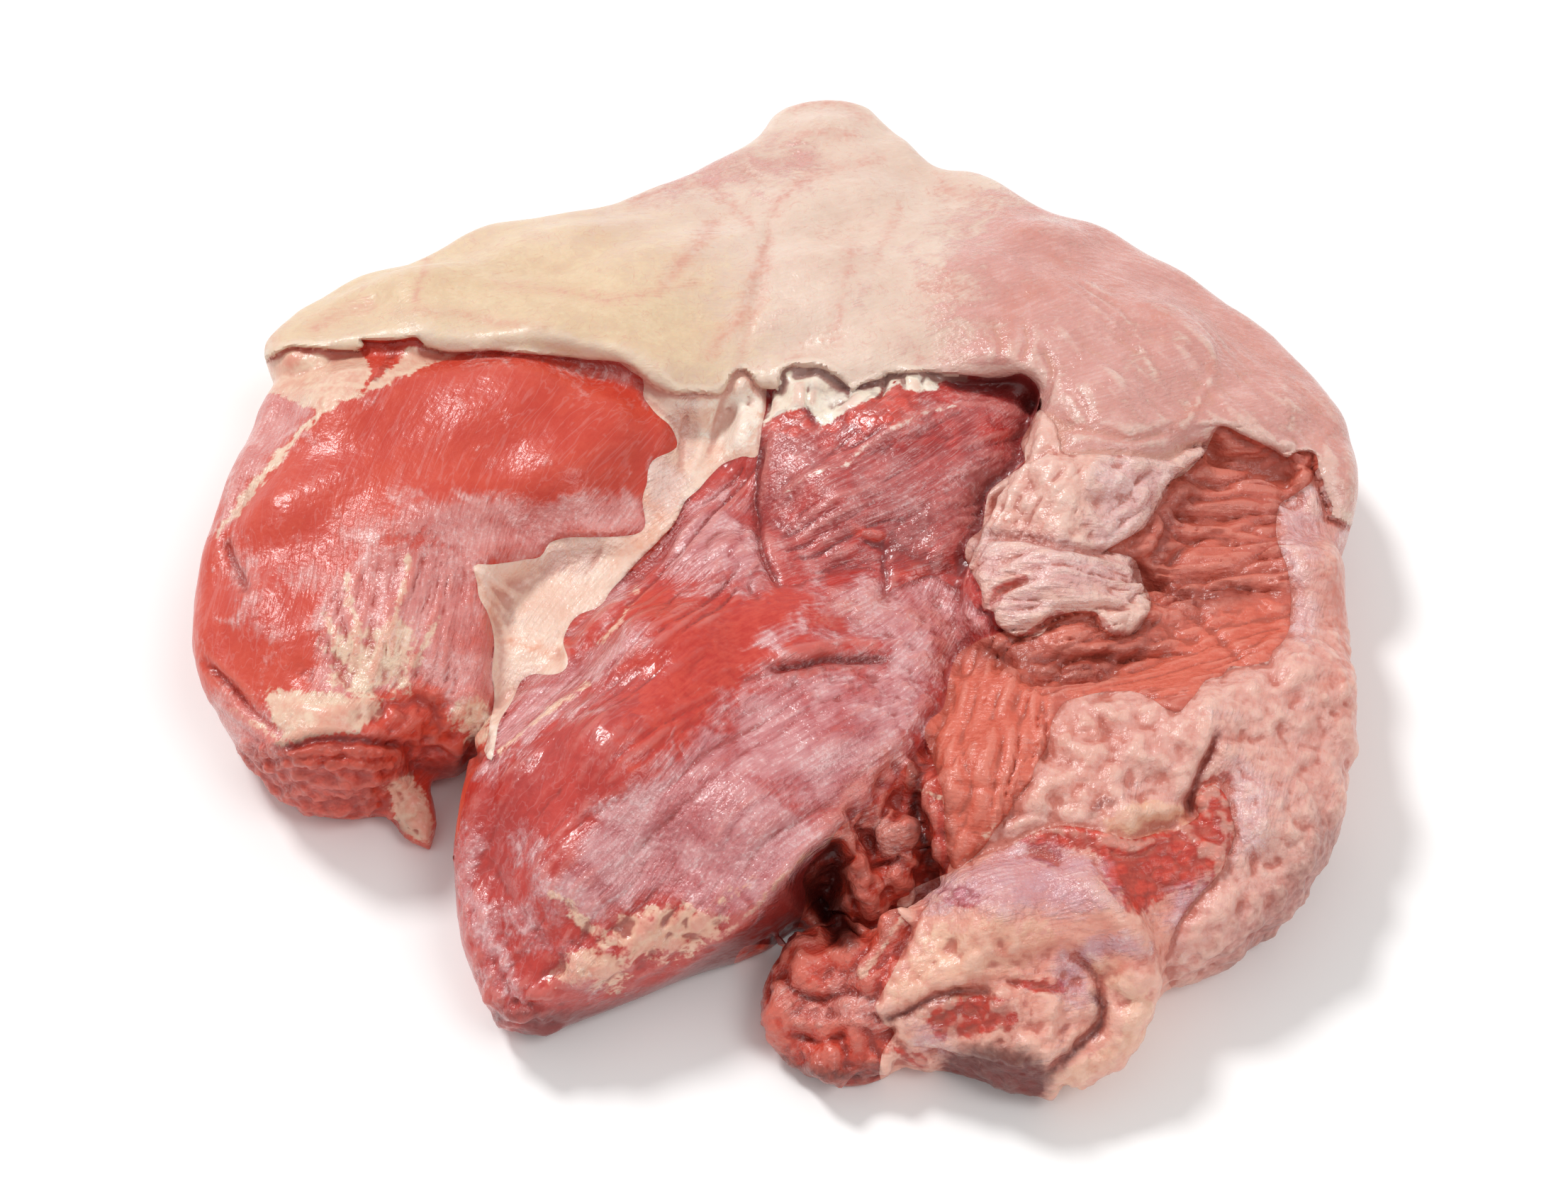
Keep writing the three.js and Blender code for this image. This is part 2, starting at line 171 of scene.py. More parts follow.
# %% Outlines
OUTLINES = {
    "folded_flap": [
        (1467, 578), (1452, 600), (1441, 625), (1446, 655), (1425, 670), (1398, 690), (1392, 715),
        (1385, 745), (1365, 765), (1362, 785), (1372, 810), (1384, 835), (1386, 858), (1402, 862),
        (1405, 880), (1420, 893), (1448, 899), (1472, 893), (1490, 872), (1520, 862), (1545, 864),
        (1556, 882), (1578, 896), (1602, 892), (1618, 872), (1624, 850), (1615, 825), (1606, 800),
        (1596, 786), (1560, 778), (1576, 767), (1600, 752), (1617, 740), (1632, 715), (1645, 690),
        (1660, 668), (1690, 650), (1702, 630), (1680, 632), (1650, 648), (1600, 645), (1545, 642),
        (1502, 640), (1496, 622), (1488, 600), (1478, 588),
    ],
    "fat_cover": [
        (250, 556), (354, 549), (365, 522), (380, 502), (405, 492), (430, 490), (470, 492), (503, 494),
        (512, 486), (509, 479), (545, 480), (588, 477), (599, 489), (640, 497), (700, 495), (760, 499),
        (820, 506), (885, 514), (903, 528), (925, 545), (955, 555), (985, 552), (1012, 558),
        (1026, 545), (1033, 528), (1046, 520), (1060, 528), (1074, 546), (1097, 547), (1104, 524),
        (1140, 519), (1170, 525), (1188, 537), (1200, 548), (1218, 542), (1243, 534), (1252, 527),
        (1300, 526), (1345, 528), (1400, 534), (1440, 528), (1458, 540), (1467, 556), (1470, 585),
        (1484, 625), (1500, 665), (1545, 672), (1600, 676), (1650, 676), (1685, 655), (1702, 630),
        (1720, 603), (1745, 610), (1770, 622), (1795, 635), (1815, 646),
        (1832, 636), (1857, 642), (1862, 665), (1870, 690), (1880, 715), (1887, 733), (1990, 738),
        (2000, 400), (1700, 60), (700, 60), (240, 300),
    ],
    "near_slab": [
        (1283, 1262), (1290, 1252), (1320, 1240), (1345, 1230), (1370, 1215), (1400, 1202),
        (1425, 1193), (1450, 1180), (1480, 1168), (1510, 1166), (1550, 1172), (1590, 1184),
        (1620, 1180), (1650, 1172), (1672, 1163), (1690, 1150), (1686, 1135), (1692, 1120),
        (1705, 1109), (1722, 1113), (1735, 1140), (1741, 1170), (1735, 1200), (1722, 1232),
        (1690, 1262), (1665, 1300), (1652, 1335), (1645, 1370), (1660, 1440), (1600, 1560),
        (1450, 1640), (1300, 1600), (1246, 1530), (1243, 1490), (1262, 1458), (1242, 1440),
        (1234, 1420), (1245, 1400), (1262, 1370), (1276, 1340), (1285, 1310), (1268, 1290),
        (1266, 1272),
    ],
    "wrinkled_lean": [
        (1680, 600), (1720, 575), (1770, 590), (1815, 615), (1835, 605), (1890, 610), (1885, 650),
        (1862, 660), (1850, 680), (1825, 698), (1805, 712), (1800, 740), (1805, 775),
        (1816, 800), (1822, 835), (1820, 875), (1812, 903), (1795, 918), (1788, 932), (1757, 940),
        (1735, 941), (1722, 955), (1700, 962), (1682, 985), (1665, 1003), (1645, 1000), (1620, 982),
        (1590, 975), (1560, 975), (1530, 982), (1500, 995), (1485, 1020), (1478, 1050), (1462, 1080),
        (1455, 1100), (1440, 1120), (1420, 1150), (1405, 1168), (1392, 1190), (1370, 1212),
        (1345, 1228), (1336, 1205), (1333, 1170), (1330, 1130), (1325, 1100), (1312, 1065),
        (1303, 1035), (1312, 1015), (1332, 1000), (1338, 960), (1352, 925), (1380, 905), (1400, 897),
        (1430, 880), (1520, 800), (1560, 700), (1640, 640),
    ],
    "right_rim": [
        (1340, 1240), (1392, 1150), (1460, 1040), (1520, 900), (1600, 700), (1750, 620), (2000, 620),
        (2020, 1000), (1960, 1400), (1640, 1520), (1560, 1400), (1500, 1250),
    ],
    "inner_muscle": [
        (1084, 490), (1083, 520), (1081, 550), (1079, 580), (1075, 605), (1068, 660), (1066, 700),
        (1070, 745), (1078, 780),
        (1090, 810), (1100, 824), (1125, 825), (1150, 816), (1180, 808), (1205, 801), (1230, 801),
        (1247, 810), (1251, 838), (1262, 830), (1280, 822), (1310, 812), (1335, 822), (1362, 838),
        (1385, 862), (1450, 870), (1530, 600), (1470, 490), (1250, 480),
    ],
    "ragged_end": [
        (1137, 1266), (1133, 1245), (1142, 1222), (1155, 1206), (1168, 1196), (1180, 1174),
        (1205, 1152), (1230, 1133), (1255, 1112), (1270, 1090), (1284, 1072), (1305, 1058),
        (1360, 1090), (1400, 1240), (1320, 1420), (1280, 1580), (1150, 1590), (1020, 1520),
        (1040, 1350), (1110, 1330), (1130, 1300),
    ],
    "seam_membrane": [
        (880, 500), (905, 535), (906, 560), (918, 575), (945, 600), (957, 625), (945, 638), (920, 650),
        (912, 680), (905, 705), (908, 746), (880, 756), (840, 758), (800, 758), (775, 766), (762, 785),
        (735, 792), (710, 795), (690, 797), (668, 800), (672, 825), (680, 850), (692, 880), (697, 910),
        (695, 950), (697, 990), (690, 1030), (682, 1060), (692, 1072), (699, 1040), (706, 1015),
        (722, 990), (735, 962), (752, 950), (780, 952), (800, 944), (801, 925), (795, 905), (800, 885),
        (815, 868), (845, 855), (865, 830), (882, 812), (905, 788), (940, 752), (955, 730), (970, 705),
        (985, 690), (1000, 672), (1020, 655), (1045, 645), (1072, 640), (1080, 575), (1110, 500),
    ],
    "left_muscle": [
        (200, 480), (900, 480), (980, 640), (900, 800), (720, 830), (705, 1000), (684, 1064),
        (660, 1110), (610, 1230), (400, 1260), (200, 1100),
    ],
}
REST = "middle_muscle"
OUTLINES = {name: wavering(curved(points)) for name, points in OUTLINES.items()}
print("Outlines:", {name: len(line) for name, line in OUTLINES.items()})

# %% [markdown]
# ## Soft clay
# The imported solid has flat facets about 10 mm wide. A voxel remesh turns a copy of it into even squares,
# smoothing melts the facets away, and one subdivision makes the squares fine enough, 1.3 mm, for lumps and
# creases. A CAD node's mesh is loose triangles, so the copy's doubles are merged before the remesh.

# %% Soft clay
SAME_POINT = 0.00002
REMESH_STEP = 0.0026
MELT_ROUNDS = 8


def pick(thing):
    """Selects this object alone."""
    bpy.ops.object.select_all(action="DESELECT")
    thing.select_set(True)
    bpy.context.view_layer.objects.active = thing


def modify(thing, kind, **settings):
    """Adds a modifier with its settings and applies it."""
    pick(thing)
    modifier = thing.modifiers.new(kind.title(), kind)
    for key, value in settings.items():
        setattr(modifier, key, value)
    bpy.ops.object.modifier_apply(modifier=modifier.name)


def copy_of(thing, name):
    """A new object with a mesh of its own."""
    made = bpy.data.objects.new(name, thing.data.copy())
    made.data.name = name
    bpy.context.scene.collection.objects.link(made)
    return made


clay = copy_of(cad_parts["brisket"], REST)
clay.data.materials.clear()
pick(clay)
bpy.ops.object.mode_set(mode="EDIT")
bpy.ops.mesh.select_all(action="SELECT")
bpy.ops.mesh.remove_doubles(threshold=SAME_POINT)
bpy.ops.object.mode_set(mode="OBJECT")
modify(clay, "REMESH", mode="VOXEL", voxel_size=REMESH_STEP)
modify(clay, "SMOOTH", factor=0.5, iterations=MELT_ROUNDS)
modify(clay, "SUBSURF", levels=1, render_levels=1)
print("The clay has", len(clay.data.vertices), "points")

# %% [markdown]
# ## What is known of each point
# A skin holds the points of a mesh, which way they face, their pixels and the mm that a pixel covers there.
# It measures how far each point is from a photo line, or how deep inside an outline. Far points are left
# out, which keeps it quick.

# %% Skins
FULLY_SHOWN = 0.3
TABLE_MM = 1
TABLE_FADE = 8
LEGS_AT_ONCE = 8


def bell(distance, width):
    """One at a line, sinking smoothly to nothing about two widths away."""
    return np.exp(-((distance / width) ** 2))


def soft_step(value):
    """Zero below 0, one above 1, and smooth between them."""
    value = np.clip(value, 0, 1)
    return value * value * (3 - 2 * value)


def read_points(thing):
    """The points of a mesh as an array of rows."""
    flat = np.empty(3 * len(thing.data.vertices))
    thing.data.vertices.foreach_get("co", flat)
    return flat.reshape(-1, 3)


def write_points(thing, places):
    """Puts the points of a mesh at these places."""
    thing.data.vertices.foreach_set("co", places.ravel())
    thing.data.update()


def is_inside(outline, pixels):
    """True inside an outline: a line to the right from there crosses the outline an odd number of times."""
    inside = np.zeros(len(pixels), bool)
    order = np.argsort(pixels[:, 1])
    rows = pixels[order, 1]
    for (ax, ay), (bx, by) in zip(outline, np.roll(outline, -1, 0)):
        first, last = np.searchsorted(rows, sorted((ay, by)))
        if last > first:
            level = order[first:last]
            crossing = ax + (pixels[level, 1] - ay) * (bx - ax) / (by - ay)
            inside[level] ^= pixels[level, 0] < crossing
    return inside


class Skin:
    """The points of a mesh, where the photo shows them, and how squarely they face the camera."""

    def __init__(self, thing):
        self.points = read_points(thing)
        flat = np.empty(3 * len(self.points))
        thing.data.vertex_normals.foreach_get("vector", flat)
        self.normals = flat.reshape(-1, 3)
        self.pixels, self.pixel_mm = seen_at(self.points)
        self.mm = self.points * 1000
        self.shown = soft_step(-(self.normals @ AHEAD) / FULLY_SHOWN)
        self.off_table = soft_step((self.mm[:, 2] - TABLE_MM) / TABLE_FADE)

    def gap(self, line, reach):
        """How many mm each point is from a line, up to a reach."""
        across = reach / self.pixel_mm.min()
        nearest = np.full(len(self.pixels), across**2)
        for start in range(0, len(line) - 1, LEGS_AT_ONCE):
            part = line[start:start + LEGS_AT_ONCE + 1]
            low = part.min(0) - across
            high = part.max(0) + across
            close = np.flatnonzero(((self.pixels > low) & (self.pixels < high)).all(1))
            for a, b in zip(part, part[1:]):
                along = b - a
                offset = self.pixels[close] - a
                t = np.clip(offset @ along / max(along @ along, 1e-9), 0, 1)
                nearest[close] = np.minimum(nearest[close], ((offset - t[:, None] * along) ** 2).sum(1))
        return np.sqrt(nearest) * self.pixel_mm

    def depth_in(self, outline, reach):
        """How many mm each point is inside an outline, and below zero outside it."""
        ring = np.vstack((outline, outline[:1]))
        return self.gap(ring, reach) * np.where(is_inside(outline, self.pixels), 1, -1)


skin = Skin(clay)
BORDER_REACH = 16
region = np.full(len(skin.points), len(OUTLINES))
margins = []
for order, outline in enumerate(OUTLINES.values()):
    margins.append(skin.depth_in(outline, BORDER_REACH))
    region[(margins[-1] > 0) & (region == len(OUTLINES))] = order
names = list(OUTLINES) + [REST]
print("Points in each region:", {name: int((region == i).sum()) for i, name in enumerate(names)})

# %% [markdown]
# ## Borders
# Where two tissues meet, both round off towards the border, and the lower one dives under the upper one.
# The numbers are the upper one's rounding, its width, the lower one's dive and its width, in mm. The step of
# the fat cover's free edge is the deepest. The moves follow the line of sight, so a border stays at its pixels.

# %% Borders
LIPS = {
    "folded_flap": (1.0, 2.0, 4.0, 6.0),
    "fat_cover": (0.2, 1.0, 4.2, 5.0),
    "near_slab": (0.5, 1.6, 2.2, 4.0),
    "wrinkled_lean": (1.0, 2.5, 2.2, 4.0),
    "right_rim": (0.3, 1.5, 1.4, 3.0),
    "inner_muscle": (1.2, 3.5, 2.0, 4.0),
    "ragged_end": (1.5, 3.0, 1.5, 3.0),
    "seam_membrane": (0.3, 1.0, 0.4, 1.2),
    "left_muscle": (1.5, 4.0, 1.5, 4.0),
}
RAMP = 1.3

push = np.zeros(len(skin.points))
press = np.zeros(len(skin.points))
for order, (lip, lip_width, dive, dive_width) in enumerate(LIPS.values()):
    margin = margins[order]
    upper = soft_step(0.5 + margin / RAMP)
    amount = upper * lip * bell(margin, lip_width) + (1 - upper) * dive * bell(margin, dive_width)
    press += np.where(region < order, 0, amount)
print("Deepest border:", round(press.max(), 1), "mm")

# %% [markdown]
# ## Ridges and grooves
# A knife slit, a pleat, a tendon or a fold is a line on the surface. Each line below has a height in mm, which
# is below zero for a groove, its half width in mm, and the photo pixels that it runs through.

# %% Lines
LINES = {
    "slits in the left muscle": [
        (-2.2, 1.7, [(316, 760), (322, 780), (333, 802), (346, 826)]),
        (-3.0, 1.7, [(290, 936), (315, 960), (335, 978), (351, 996)]),
        (-2.0, 3.0, [(424, 944), (434, 952)]),
        (-1.0, 1.6, [(300, 1000), (340, 1030), (372, 1056)]),
        (-1.0, 1.6, [(330, 985), (368, 1015), (404, 1044)]),
        (-0.8, 1.4, [(352, 996), (380, 1018), (412, 1034)]),
        (-0.9, 3.0, [(404, 640), (365, 680), (330, 722), (303, 758)]),
        (-0.8, 2.0, [(770, 770), (800, 763), (850, 760), (900, 756)]),
    ],
    "layers of the cut end": [
        (-2.6, 2.0, [(395, 1056), (430, 1046), (465, 1040), (500, 1044), (540, 1050), (572, 1052)]),
        (-1.5, 1.7, [(362, 1080), (420, 1071), (470, 1070), (520, 1074), (566, 1069)]),
        (-1.6, 1.7, [(372, 1098), (430, 1092), (480, 1098), (530, 1092), (566, 1094)]),
        (-1.4, 1.7, [(388, 1117), (440, 1110), (500, 1120), (560, 1112)]),
        (-1.5, 1.9, [(404, 1133), (450, 1137), (500, 1133), (545, 1129)]),
        (-2.2, 2.4, [(574, 1042), (579, 1058), (573, 1078)]),
        (-1.4, 1.6, [(553, 1104), (562, 1120), (574, 1138)]),
        (-1.8, 2.2, [(590, 1068), (620, 1062), (655, 1072), (676, 1060)]),
        (-1.0, 1.6, [(590, 985), (612, 1000), (622, 1025)]),
    ],
    "tendons of the left muscle": [
        (1.1, 2.0, [(584, 798), (572, 835), (552, 880), (532, 930), (520, 962)]),
        (1.0, 1.9, [(502, 806), (494, 850), (500, 900), (516, 948)]),
        (0.8, 1.7, [(612, 862), (592, 910), (572, 962)]),
        (0.7, 1.7, [(548, 832), (545, 880), (556, 940)]),
        (-1.0, 1.8, [(476, 840), (478, 870), (492, 905)]),
        (-0.8, 1.5, [(530, 830), (520, 880), (530, 925)]),
        (0.9, 3.0, [(390, 995), (430, 1000), (480, 1004), (540, 985), (590, 985)]),
        (-0.8, 1.4, [(455, 900), (475, 930), (500, 960)]),
        (-0.8, 1.4, [(462, 925), (480, 955), (505, 975)]),
    ],
    "pleats of the membrane": [
        (1.5, 1.6, [(664, 802), (690, 817), (706, 828), (730, 842)]),
        (1.1, 1.4, [(672, 812), (690, 836), (714, 870)]),
        (0.9, 1.4, [(684, 850), (702, 870), (714, 898)]),
        (1.8, 1.8, [(797, 908), (803, 926), (798, 946)]),
        (-0.9, 1.5, [(1022, 560), (1012, 600), (1000, 640)]),
        (0.9, 2.4, [(1050, 545), (1046, 590), (1030, 635)]),
        (-0.8, 1.4, [(975, 565), (965, 610), (960, 660)]),
        (0.7, 1.6, [(985, 575), (992, 620), (975, 670)]),
        (-0.8, 1.2, [(905, 560), (935, 580), (955, 600)]),
        (-0.7, 1.2, [(850, 770), (840, 790), (825, 812)]),
    ],
    "folds of the middle muscle": [
        (-2.6, 1.4, [(1092, 943), (1112, 940), (1142, 934), (1170, 929), (1205, 930), (1246, 927)]),
        (1.6, 2.6, [(1096, 926), (1140, 916), (1190, 908), (1244, 912)]),
        (-1.0, 2.2, [(1042, 955), (1070, 952), (1090, 948)]),
        (0.7, 1.5, [(700, 1064), (745, 1024), (800, 985), (850, 955), (905, 905)]),
        (0.6, 1.3, [(690, 1110), (725, 1085), (765, 1055)]),
        (-0.6, 1.4, [(760, 1045), (800, 1016), (838, 996)]),
        (1.5, 3.5, [(1188, 1166), (1150, 1200), (1100, 1240), (1052, 1294), (1012, 1328), (950, 1368), (900, 1390)]),
        (-0.9, 1.8, [(657, 1250), (672, 1310), (702, 1370), (732, 1424)]),
        (-0.7, 1.6, [(690, 1215), (722, 1275), (770, 1330)]),
        (-1.0, 1.8, [(700, 1425), (730, 1415), (762, 1420)]),
        (-1.2, 1.6, [(800, 1300), (830, 1320), (868, 1338)]),
        (-1.0, 1.6, [(880, 1295), (930, 1320), (985, 1325)]),
        (-0.8, 1.4, [(790, 1262), (822, 1300), (860, 1330)]),
    ],
    "folds of the inner muscle": [
        (-1.9, 1.5, [(1074, 625), (1067, 680), (1066, 720), (1072, 762), (1084, 798), (1098, 822)]),
        (-3.5, 2.0, [(1084, 548), (1080, 562), (1078, 580)]),
        (1.2, 1.8, [(1100, 700), (1150, 668), (1195, 655), (1216, 634), (1252, 611), (1292, 587), (1332, 574)]),
        (0.9, 1.8, [(1332, 574), (1380, 570), (1448, 588)]),
        (-0.7, 2.5, [(1120, 640), (1160, 628), (1200, 620)]),
        (1.4, 1.9, [(1208, 749), (1228, 753), (1247, 759)]),
        (-1.2, 1.4, [(1216, 763), (1243, 771)]),
        (-1.3, 1.4, [(1249, 768), (1247, 792), (1250, 818), (1253, 840)]),
        (-1.8, 1.4, [(1199, 550), (1190, 560), (1176, 572)]),
        (-1.5, 1.2, [(1250, 530), (1246, 548), (1236, 562)]),
        (-1.2, 1.1, [(1274, 530), (1276, 546)]),
        (-1.2, 1.1, [(1302, 530), (1305, 546)]),
        (-1.2, 1.2, [(1142, 540), (1140, 575), (1150, 596)]),
        (-2.5, 4.0, [(1345, 800), (1370, 790), (1376, 760)]),
    ],
    "creases of the flap": [
        (-3.2, 1.9, [(1386, 753), (1420, 752), (1452, 757), (1492, 764), (1532, 772), (1566, 779)]),
        (-2.4, 1.8, [(1388, 860), (1404, 838), (1428, 822), (1455, 812)]),
        (-2.2, 1.6, [(1440, 898), (1464, 886), (1482, 872), (1496, 860)]),
        (-1.6, 1.6, [(1444, 650), (1466, 640), (1482, 632), (1496, 640)]),
        (-1.0, 1.5, [(1400, 702), (1424, 722), (1440, 692)]),
        (-0.9, 1.4, [(1412, 742), (1426, 716), (1446, 728)]),
        (1.2, 2.6, [(1462, 592), (1472, 618), (1490, 636)]),
        (-1.0, 1.6, [(1520, 646), (1524, 690), (1514, 740)]),
        (-0.9, 1.4, [(1450, 800), (1500, 792), (1560, 800), (1600, 812)]),
        (-1.2, 1.6, [(1560, 880), (1570, 862), (1600, 850), (1622, 852)]),
    ],
    "folds of the wrinkled lean": [
        (-3.2, 2.0, [(1606, 795), (1622, 812), (1646, 828), (1700, 836), (1760, 831)]),
        (-3.2, 2.2, [(1446, 944), (1490, 957), (1550, 951), (1622, 914)]),
        (-2.2, 1.8, [(1388, 918), (1430, 936), (1472, 952)]),
        (-2.4, 1.8, [(1626, 792), (1640, 768), (1652, 740), (1650, 715)]),
        (-2.0, 1.7, [(1650, 800), (1666, 778), (1700, 758), (1740, 765)]),
        (-2.0, 1.7, [(1670, 812), (1720, 806), (1780, 782)]),
        (-1.6, 1.6, [(1660, 728), (1700, 735), (1760, 728), (1798, 738)]),
        (-1.6, 1.6, [(1655, 700), (1700, 706), (1750, 698), (1790, 702)]),
        (-1.5, 1.5, [(1680, 676), (1720, 680), (1775, 670), (1820, 678)]),
        (-1.4, 1.5, [(1700, 652), (1740, 655), (1790, 662), (1835, 650)]),
        (-1.8, 1.6, [(1500, 900), (1545, 905), (1590, 895), (1618, 880)]),
        (-1.8, 1.6, [(1480, 925), (1530, 932), (1580, 920)]),
        (-1.4, 1.6, [(1640, 850), (1700, 880), (1750, 930)]),
        (-1.0, 1.8, [(1340, 1100), (1380, 1110), (1420, 1105)]),
    ],
    "slits and lumps of the rim": [
        (-3.0, 1.6, [(1720, 1032), (1709, 1060), (1694, 1090), (1682, 1120), (1678, 1146)]),
        (-4.0, 3.4, [(1552, 1128), (1562, 1134)]),
        (-3.0, 3.0, [(1676, 1136), (1686, 1148)]),
        (-1.8, 2.4, [(1546, 1000), (1560, 1032), (1572, 1052)]),
        (1.8, 3.4, [(1568, 1156), (1610, 1146), (1660, 1150)]),
        (-1.4, 1.8, [(1806, 702), (1828, 716), (1842, 700)]),
        (-1.6, 2.0, [(1860, 650), (1868, 690), (1880, 728)]),
        (-1.2, 1.8, [(1410, 1160), (1440, 1148), (1490, 1150)]),
    ],
    "creases of the near slab": [
        (-2.6, 1.9, [(1246, 1440), (1286, 1426), (1320, 1406), (1362, 1400), (1404, 1402)]),
        (-1.4, 1.6, [(1414, 1384), (1450, 1390), (1502, 1396)]),
        (-2.4, 1.9, [(1522, 1353), (1549, 1383), (1556, 1420), (1549, 1451), (1515, 1485), (1468, 1526)]),
        (2.6, 6.0, [(1560, 1366), (1594, 1392), (1604, 1420), (1590, 1456), (1540, 1500), (1490, 1540)]),
        (1.6, 3.0, [(1284, 1254), (1310, 1262), (1338, 1270)]),
        (-2.0, 2.0, [(1250, 1448), (1264, 1472), (1292, 1486), (1352, 1494)]),
        (-2.0, 2.0, [(1300, 1484), (1342, 1500), (1402, 1508), (1462, 1526)]),
        (-1.8, 1.6, [(1296, 1268), (1288, 1300), (1276, 1336), (1262, 1356)]),
        (1.6, 2.2, [(1262, 1290), (1248, 1330), (1226, 1362), (1208, 1384)]),
        (-1.2, 1.5, [(1455, 1200), (1480, 1206), (1500, 1218)]),
        (-1.0, 1.5, [(1540, 1205), (1556, 1232), (1590, 1280)]),
        (-1.0, 1.6, [(1560, 1200), (1600, 1210), (1640, 1190)]),
    ],
    "folds of the fat cover": [
        (1.8, 2.2, [(1106, 522), (1140, 514), (1168, 520), (1190, 534)]),
        (-1.6, 1.8, [(1110, 534), (1140, 526)]),
        (0.9, 3.0, [(1262, 522), (1340, 522), (1400, 528), (1442, 522)]),
        (-1.4, 1.8, [(1472, 566), (1478, 540), (1484, 515), (1470, 488)]),
        (-1.2, 1.8, [(1440, 510), (1450, 480), (1444, 452)]),
        (-1.0, 1.8, [(1410, 508), (1412, 480), (1400, 455)]),
        (-1.0, 1.8, [(1508, 545), (1524, 566), (1540, 596)]),
        (-1.4, 2.0, [(1500, 600), (1540, 606), (1600, 618), (1650, 606)]),
        (0.8, 1.8, [(1700, 480), (1712, 520), (1694, 560), (1672, 600)]),
        (0.7, 1.6, [(1600, 470), (1625, 520), (1650, 560)]),
        (0.7, 1.6, [(1810, 560), (1850, 600), (1880, 650)]),
        (-0.9, 2.2, [(1040, 230), (1090, 262), (1150, 250)]),
        (-0.8, 3.0, [(1086, 290), (1080, 350), (1066, 420), (1050, 480)]),
        (-0.6, 2.6, [(880, 285), (960, 262), (1030, 290)]),
        (0.6, 4.0, [(640, 470), (740, 478), (850, 488), (900, 500)]),
    ],
    "strings of the ragged end": [
        (5.0, 5.0, [(1180, 1172), (1188, 1200), (1206, 1236)]),
        (4.0, 6.0, [(1245, 1150), (1262, 1160)]),
        (5.5, 8.0, [(1240, 1250), (1258, 1285)]),
        (4.0, 6.0, [(1166, 1290), (1172, 1325)]),
        (2.5, 3.0, [(1288, 1084), (1283, 1130), (1286, 1180)]),
        (2.5, 2.6, [(1312, 1100), (1312, 1150), (1320, 1200)]),
        (3.0, 4.0, [(1290, 1284), (1256, 1320), (1230, 1356), (1190, 1390)]),
        (3.0, 4.0, [(1120, 1360), (1170, 1350), (1220, 1362)]),
        (4.0, 3.0, [(1086, 1372), (1100, 1392), (1112, 1410)]),
        (4.0, 4.0, [(1170, 1500), (1178, 1520)]),
        (-2.6, 2.2, [(1206, 1160), (1228, 1190), (1240, 1220)]),
        (-2.8, 2.2, [(1226, 1222), (1262, 1216), (1290, 1232)]),
        (-3.0, 2.4, [(1196, 1240), (1206, 1280), (1214, 1330)]),
        (-2.4, 2.0, [(1108, 1390), (1150, 1410), (1200, 1400), (1236, 1416)]),
        (1.5, 1.6, [(1112, 1440), (1160, 1445), (1210, 1440), (1244, 1446)]),
        (-2.2, 2.0, [(1120, 1458), (1150, 1470), (1200, 1460)]),
        (-3.0, 2.6, [(1300, 1080), (1292, 1130), (1300, 1180), (1316, 1230)]),
        (-2.0, 2.0, [(1190, 1470), (1196, 1500)]),
    ],
}


LINE_REACH = 2.4
END_SHARE = 0.35
END_WIDTHS = 3


def press_line(skin, height, width, line):
    """The mm by which a ridge or groove lifts each point. It fades out towards both of its ends."""
    line = wavering(curved(line, closed=False), 1.2)
    gap = skin.gap(line, LINE_REACH * width)
    ends = np.minimum(
        np.linalg.norm(skin.pixels - line[0], axis=1), np.linalg.norm(skin.pixels - line[-1], axis=1)
    )
    fade = soft_step(END_SHARE + ends * skin.pixel_mm / (END_WIDTHS * width))
    return height * bell(gap, width) * fade


for lines in LINES.values():
    for height, width, line in lines:
        push += press_line(skin, height, width, line) * skin.shown
print("Lines:", sum(len(lines) for lines in LINES.values()))
